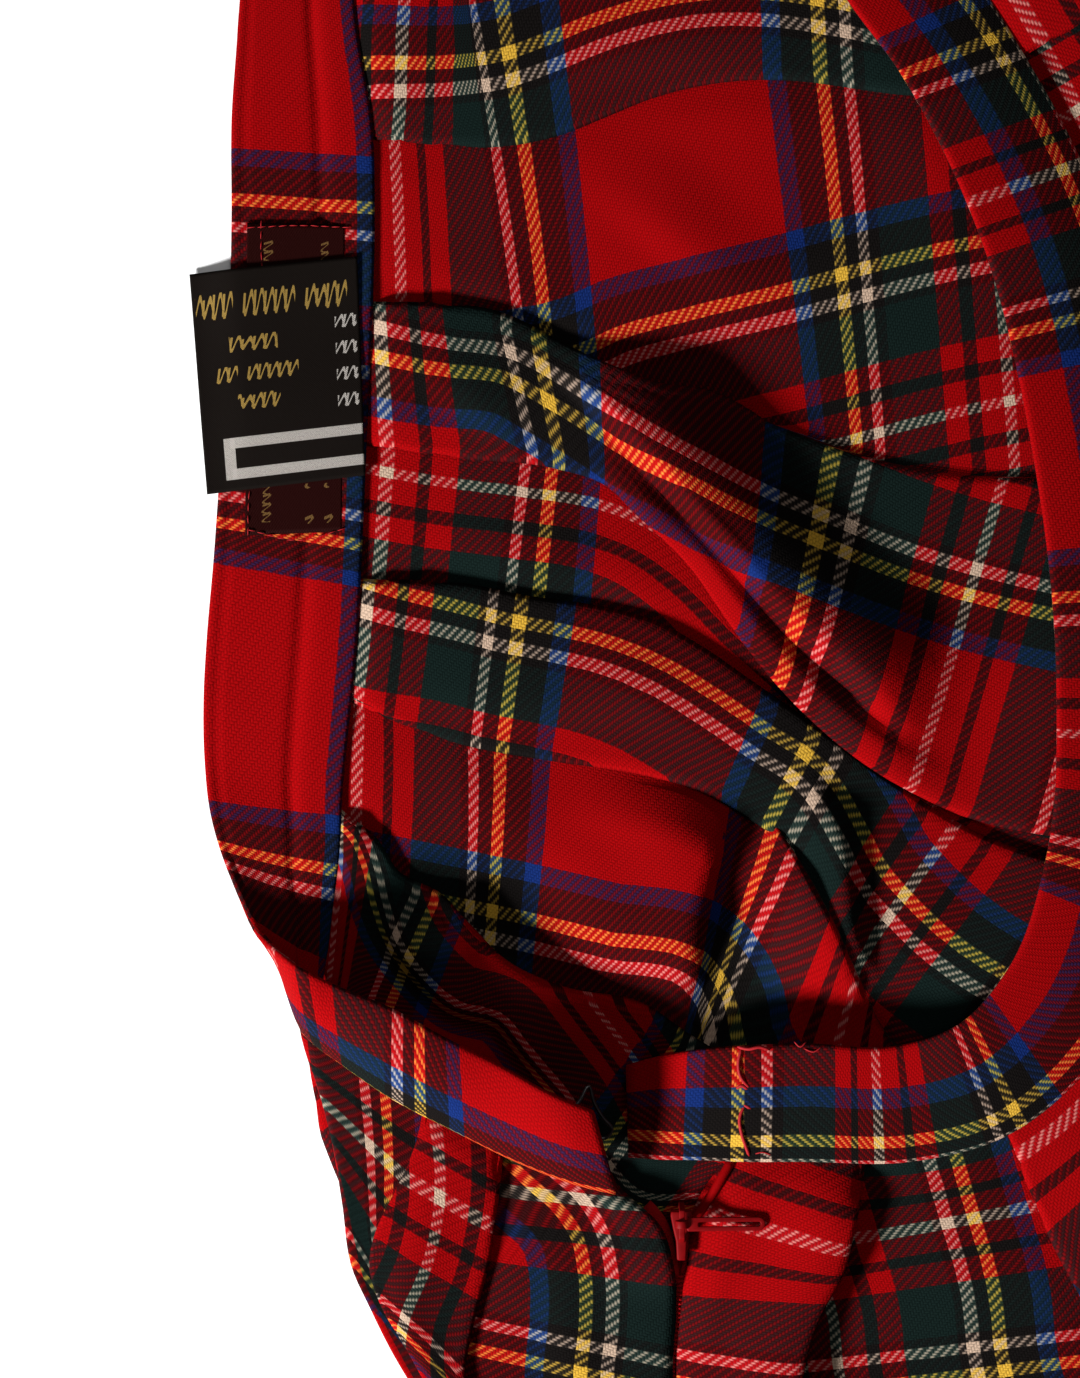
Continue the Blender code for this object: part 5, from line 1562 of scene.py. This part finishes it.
def pull_tab(finish):
    """The pull tab: a slotted plate with a round end, and an eye round the slider's bar."""
    bar = np.array([plan(SLIDER_MIDDLE)[0], plan((0, BAR_Y_PIXEL))[1], BAR_HEIGHT])
    wide, thick = PULL_WIDTH / 2, PULL_THICKNESS / 2 * 0.8
    turn = np.linspace(np.pi / 2, -np.pi / 2, 9)
    angle = np.linspace(0, 2 * np.pi, 28, endpoint=False)

    def plate_ring(begin, half, rise):
        outline = [(begin, -half), (begin - 0.35 * half, 0.0), (begin, half)]
        outline += [(PULL_LENGTH - wide + half * np.cos(a), half * np.sin(a)) for a in turn]
        return [(x, y, rise - x * PULL_DROP / PULL_LENGTH) for x, y in outline]

    def eye_ring(radius, y):
        return [(radius * np.cos(a), y, radius * np.sin(a)) for a in angle]

    def ring_form(name, rings, width, segments):
        points = np.array(rings) + bar
        faces = ring_faces(*points.shape[:2], "joined", turned=True)
        return rounded(mesh_object(name, points, faces, finish), width, segments)

    outline, slot = (1.2, wide * 1.12), (3.6, wide * 0.36)
    plate = [plate_ring(*outline, -thick), plate_ring(*outline, thick), plate_ring(*slot, thick),
             plate_ring(*slot, -thick)]
    eye = [eye_ring(EYE_RADIUS * 0.97, -0.62 * wide), eye_ring(EYE_RADIUS * 0.97, 0.62 * wide),
           eye_ring(EYE_HOLE, 0.62 * wide), eye_ring(EYE_HOLE, -0.62 * wide)]
    parts = [ring_form("tab_plate", plate, 0.22, 3), ring_form("tab_eye", eye, 0.15, 2)]
    return joined("pull_tab_plate", parts)


def place_camera():
    """The camera looks straight down on the middle of the picture."""
    camera = bpy.data.cameras.new("camera")
    camera.lens = CAMERA_LENS
    camera.sensor_width = CAMERA_SENSOR
    camera.clip_end = 10.0
    height = PICTURE_SIZE[1] / PIXELS_PER_MM / 1000 * CAMERA_LENS / CAMERA_SENSOR
    holder = in_scene("camera", camera)
    holder.location = (-ORIGIN[0] / 1000, -ORIGIN[1] / 1000, height)
    bpy.context.scene.camera = holder


def soft_light(name, place, target, size, power):
    light = bpy.data.lights.new(name, "AREA")
    light.shape = "DISK"
    light.size = size
    light.energy = power
    holder = in_scene(name, light)
    holder.location = place
    holder.rotation_mode = "QUATERNION"
    holder.rotation_quaternion = (Vector(target) - Vector(place)).to_track_quat("-Z", "Y")


def studio():
    """A plain pale floor, a key light from the lower left, a weak wide one and a dim surround."""
    floor = bpy.data.meshes.new("floor")
    floor.from_pydata([(-3, -3, 0), (3, -3, 0), (3, 3, 0), (-3, 3, 0)], [], [(0, 1, 2, 3)])
    floor.materials.append(Finish("Pale floor", 0.9).done((0.93, 0.93, 0.93, 1)))
    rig.stage(in_scene("floor", floor))
    middle = (-ORIGIN[0] / 1000, -ORIGIN[1] / 1000, 0)
    soft_light("key", (middle[0] - 1.0, middle[1] - 0.85, 0.72), middle, size=0.3, power=65.0)
    soft_light("fill", (middle[0] + 0.3, middle[1] + 0.5, 1.8), middle, size=1.2, power=5.0)
    world = bpy.data.worlds.new("studio")
    world.use_nodes = True
    background = world.node_tree.nodes["Background"].inputs
    background["Color"].default_value = (1, 1, 1, 1)
    background["Strength"].default_value = 0.06
    bpy.context.scene.world = world
    bpy.context.scene.view_settings.view_transform = "Standard"


def on_band(x, y, lift=0.0):
    """Height of the waistband's upper face at a pixel, plus a lift, in millimetres."""
    spot = plan((x, y))
    run = length_at(SEAM, spot)
    top, seam = band_top(run), at(SEAM, run)
    width = seam[:2] - top[:2]
    share = np.clip(np.dot(spot - top[:2], width) / max(1e-6, (width ** 2).sum()), 0, 1)
    return float(top[2] + (seam[2] - top[2]) * share) + BAND_SHELL / 2 + 0.3 + lift


def laid(places, lift=0.25):
    """The same pixel places with the height of the waistband below them."""
    return [(x, y, on_band(x, y, lift + (extra[0] if extra else 0.0))) for x, y, *extra in places]


def thread_bars(thread):
    """The thread bars and loose stitches on the band's under end, and the stitches round the brown label."""
    pieces = [tube(f"thread_bar_{k}", laid(row), 0.36, thread) for k, row in enumerate(THREAD_BARS)]
    pieces += [tube(f"short_thread_{k}", laid(row, 0.1), 0.16, thread, sides=6)
               for k, row in enumerate(SHORT_THREADS)]
    form = small_stitch(length=1.7, radius=0.13)
    for k, row in enumerate(LABEL_STITCHES):
        line = curve([(*plan(place), 2.72) for place in row], cuts=4)[1]
        pieces.append(repeated(f"label_stitches_{k}", line, form, 2.1, thread, uneven=0.12, seed=k))
    bpy.data.objects.remove(form)
    return pieces


def declare_sheets(pieces, going_with):
    """Say of each cloth piece how it was cut, and name the small pieces that go with it."""
    for piece in pieces:
        flat, area, rests_on = SHEETS[piece.name]
        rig.sheet(piece, flat=flat, held="laid", rests_on=rests_on, area=area,
                 with_pieces=going_with.get(piece.name, []))


def main():
    place_camera()
    studio()
    wool, tape, paint = tartan_wool(), woven_tape(), painted_metal()
    back, front = skirt_panels(wool)
    band = waistband(wool)
    brown = label("woven_label_cloth", WOVEN_LABEL, brown_weave(), bottom=2.2, thickness=0.4)
    satin = label("care_label_cloth", CARE_LABEL, black_satin(), bottom=2.9, thickness=0.35, droop=2.1)
    left, right = zip_tape("zip_tape_left_cloth", 1, tape), zip_tape("zip_tape_right_cloth", -1, tape)
    chain, slider, tab = zip_chain(tape), zip_slider(paint), pull_tab(paint)
    hook = tube("hook_wire_form", HOOK_POINTS, 0.42, dark_wire())
    edge = tube("right_panel_turned_edge", TURNED_EDGE, 1.0,
                thread_finish("Turned red edge", (0.15, 0.0006, 0.001), (0.22, 0.0008, 0.0015), gloss=0.02))
    stood_for = {"back_panel": back, "front_panel": front, "waistband": band, "woven_label": brown,
                 "care_label": satin, "zip_tape_left": left, "zip_tape_right": right, "zip_chain": chain,
                 "zip_slider": slider, "zip_pull_tab": tab, "waist_hook": hook}
    for node, piece in stood_for.items():
        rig.replaces(piece, node)
    threads = thread_bars(thread_finish("Red sewing thread", (0.16, 0.0015, 0.003), (0.34, 0.006, 0.010)))
    cloth = [back, front, band]
    slots = {"tartan_wool": cloth, "brown_label": [brown], "black_satin": [satin],
             "zip_tape": [left, right, chain, edge] + threads, "painted_zip_metal": [slider, tab],
             "hook_wire": [hook]}
    for slot, pieces in slots.items():
        for piece in pieces:
            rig.ride(piece, "pull" if piece is tab else "skirt")
            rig.slot(piece, slot)
    declare_sheets(cloth + [brown, satin, left, right],
                   {"waistband_cloth": threads + [hook], "front_cloth": [edge],
                    "zip_tape_left_cloth": [chain, slider]})


main()
dressed_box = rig.bounds()
with open("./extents.json", "w") as sizes:
    json.dump({"solids": [list(corner) for corner in solid_box], "dressed": [list(corner) for corner in dressed_box]}, sizes)
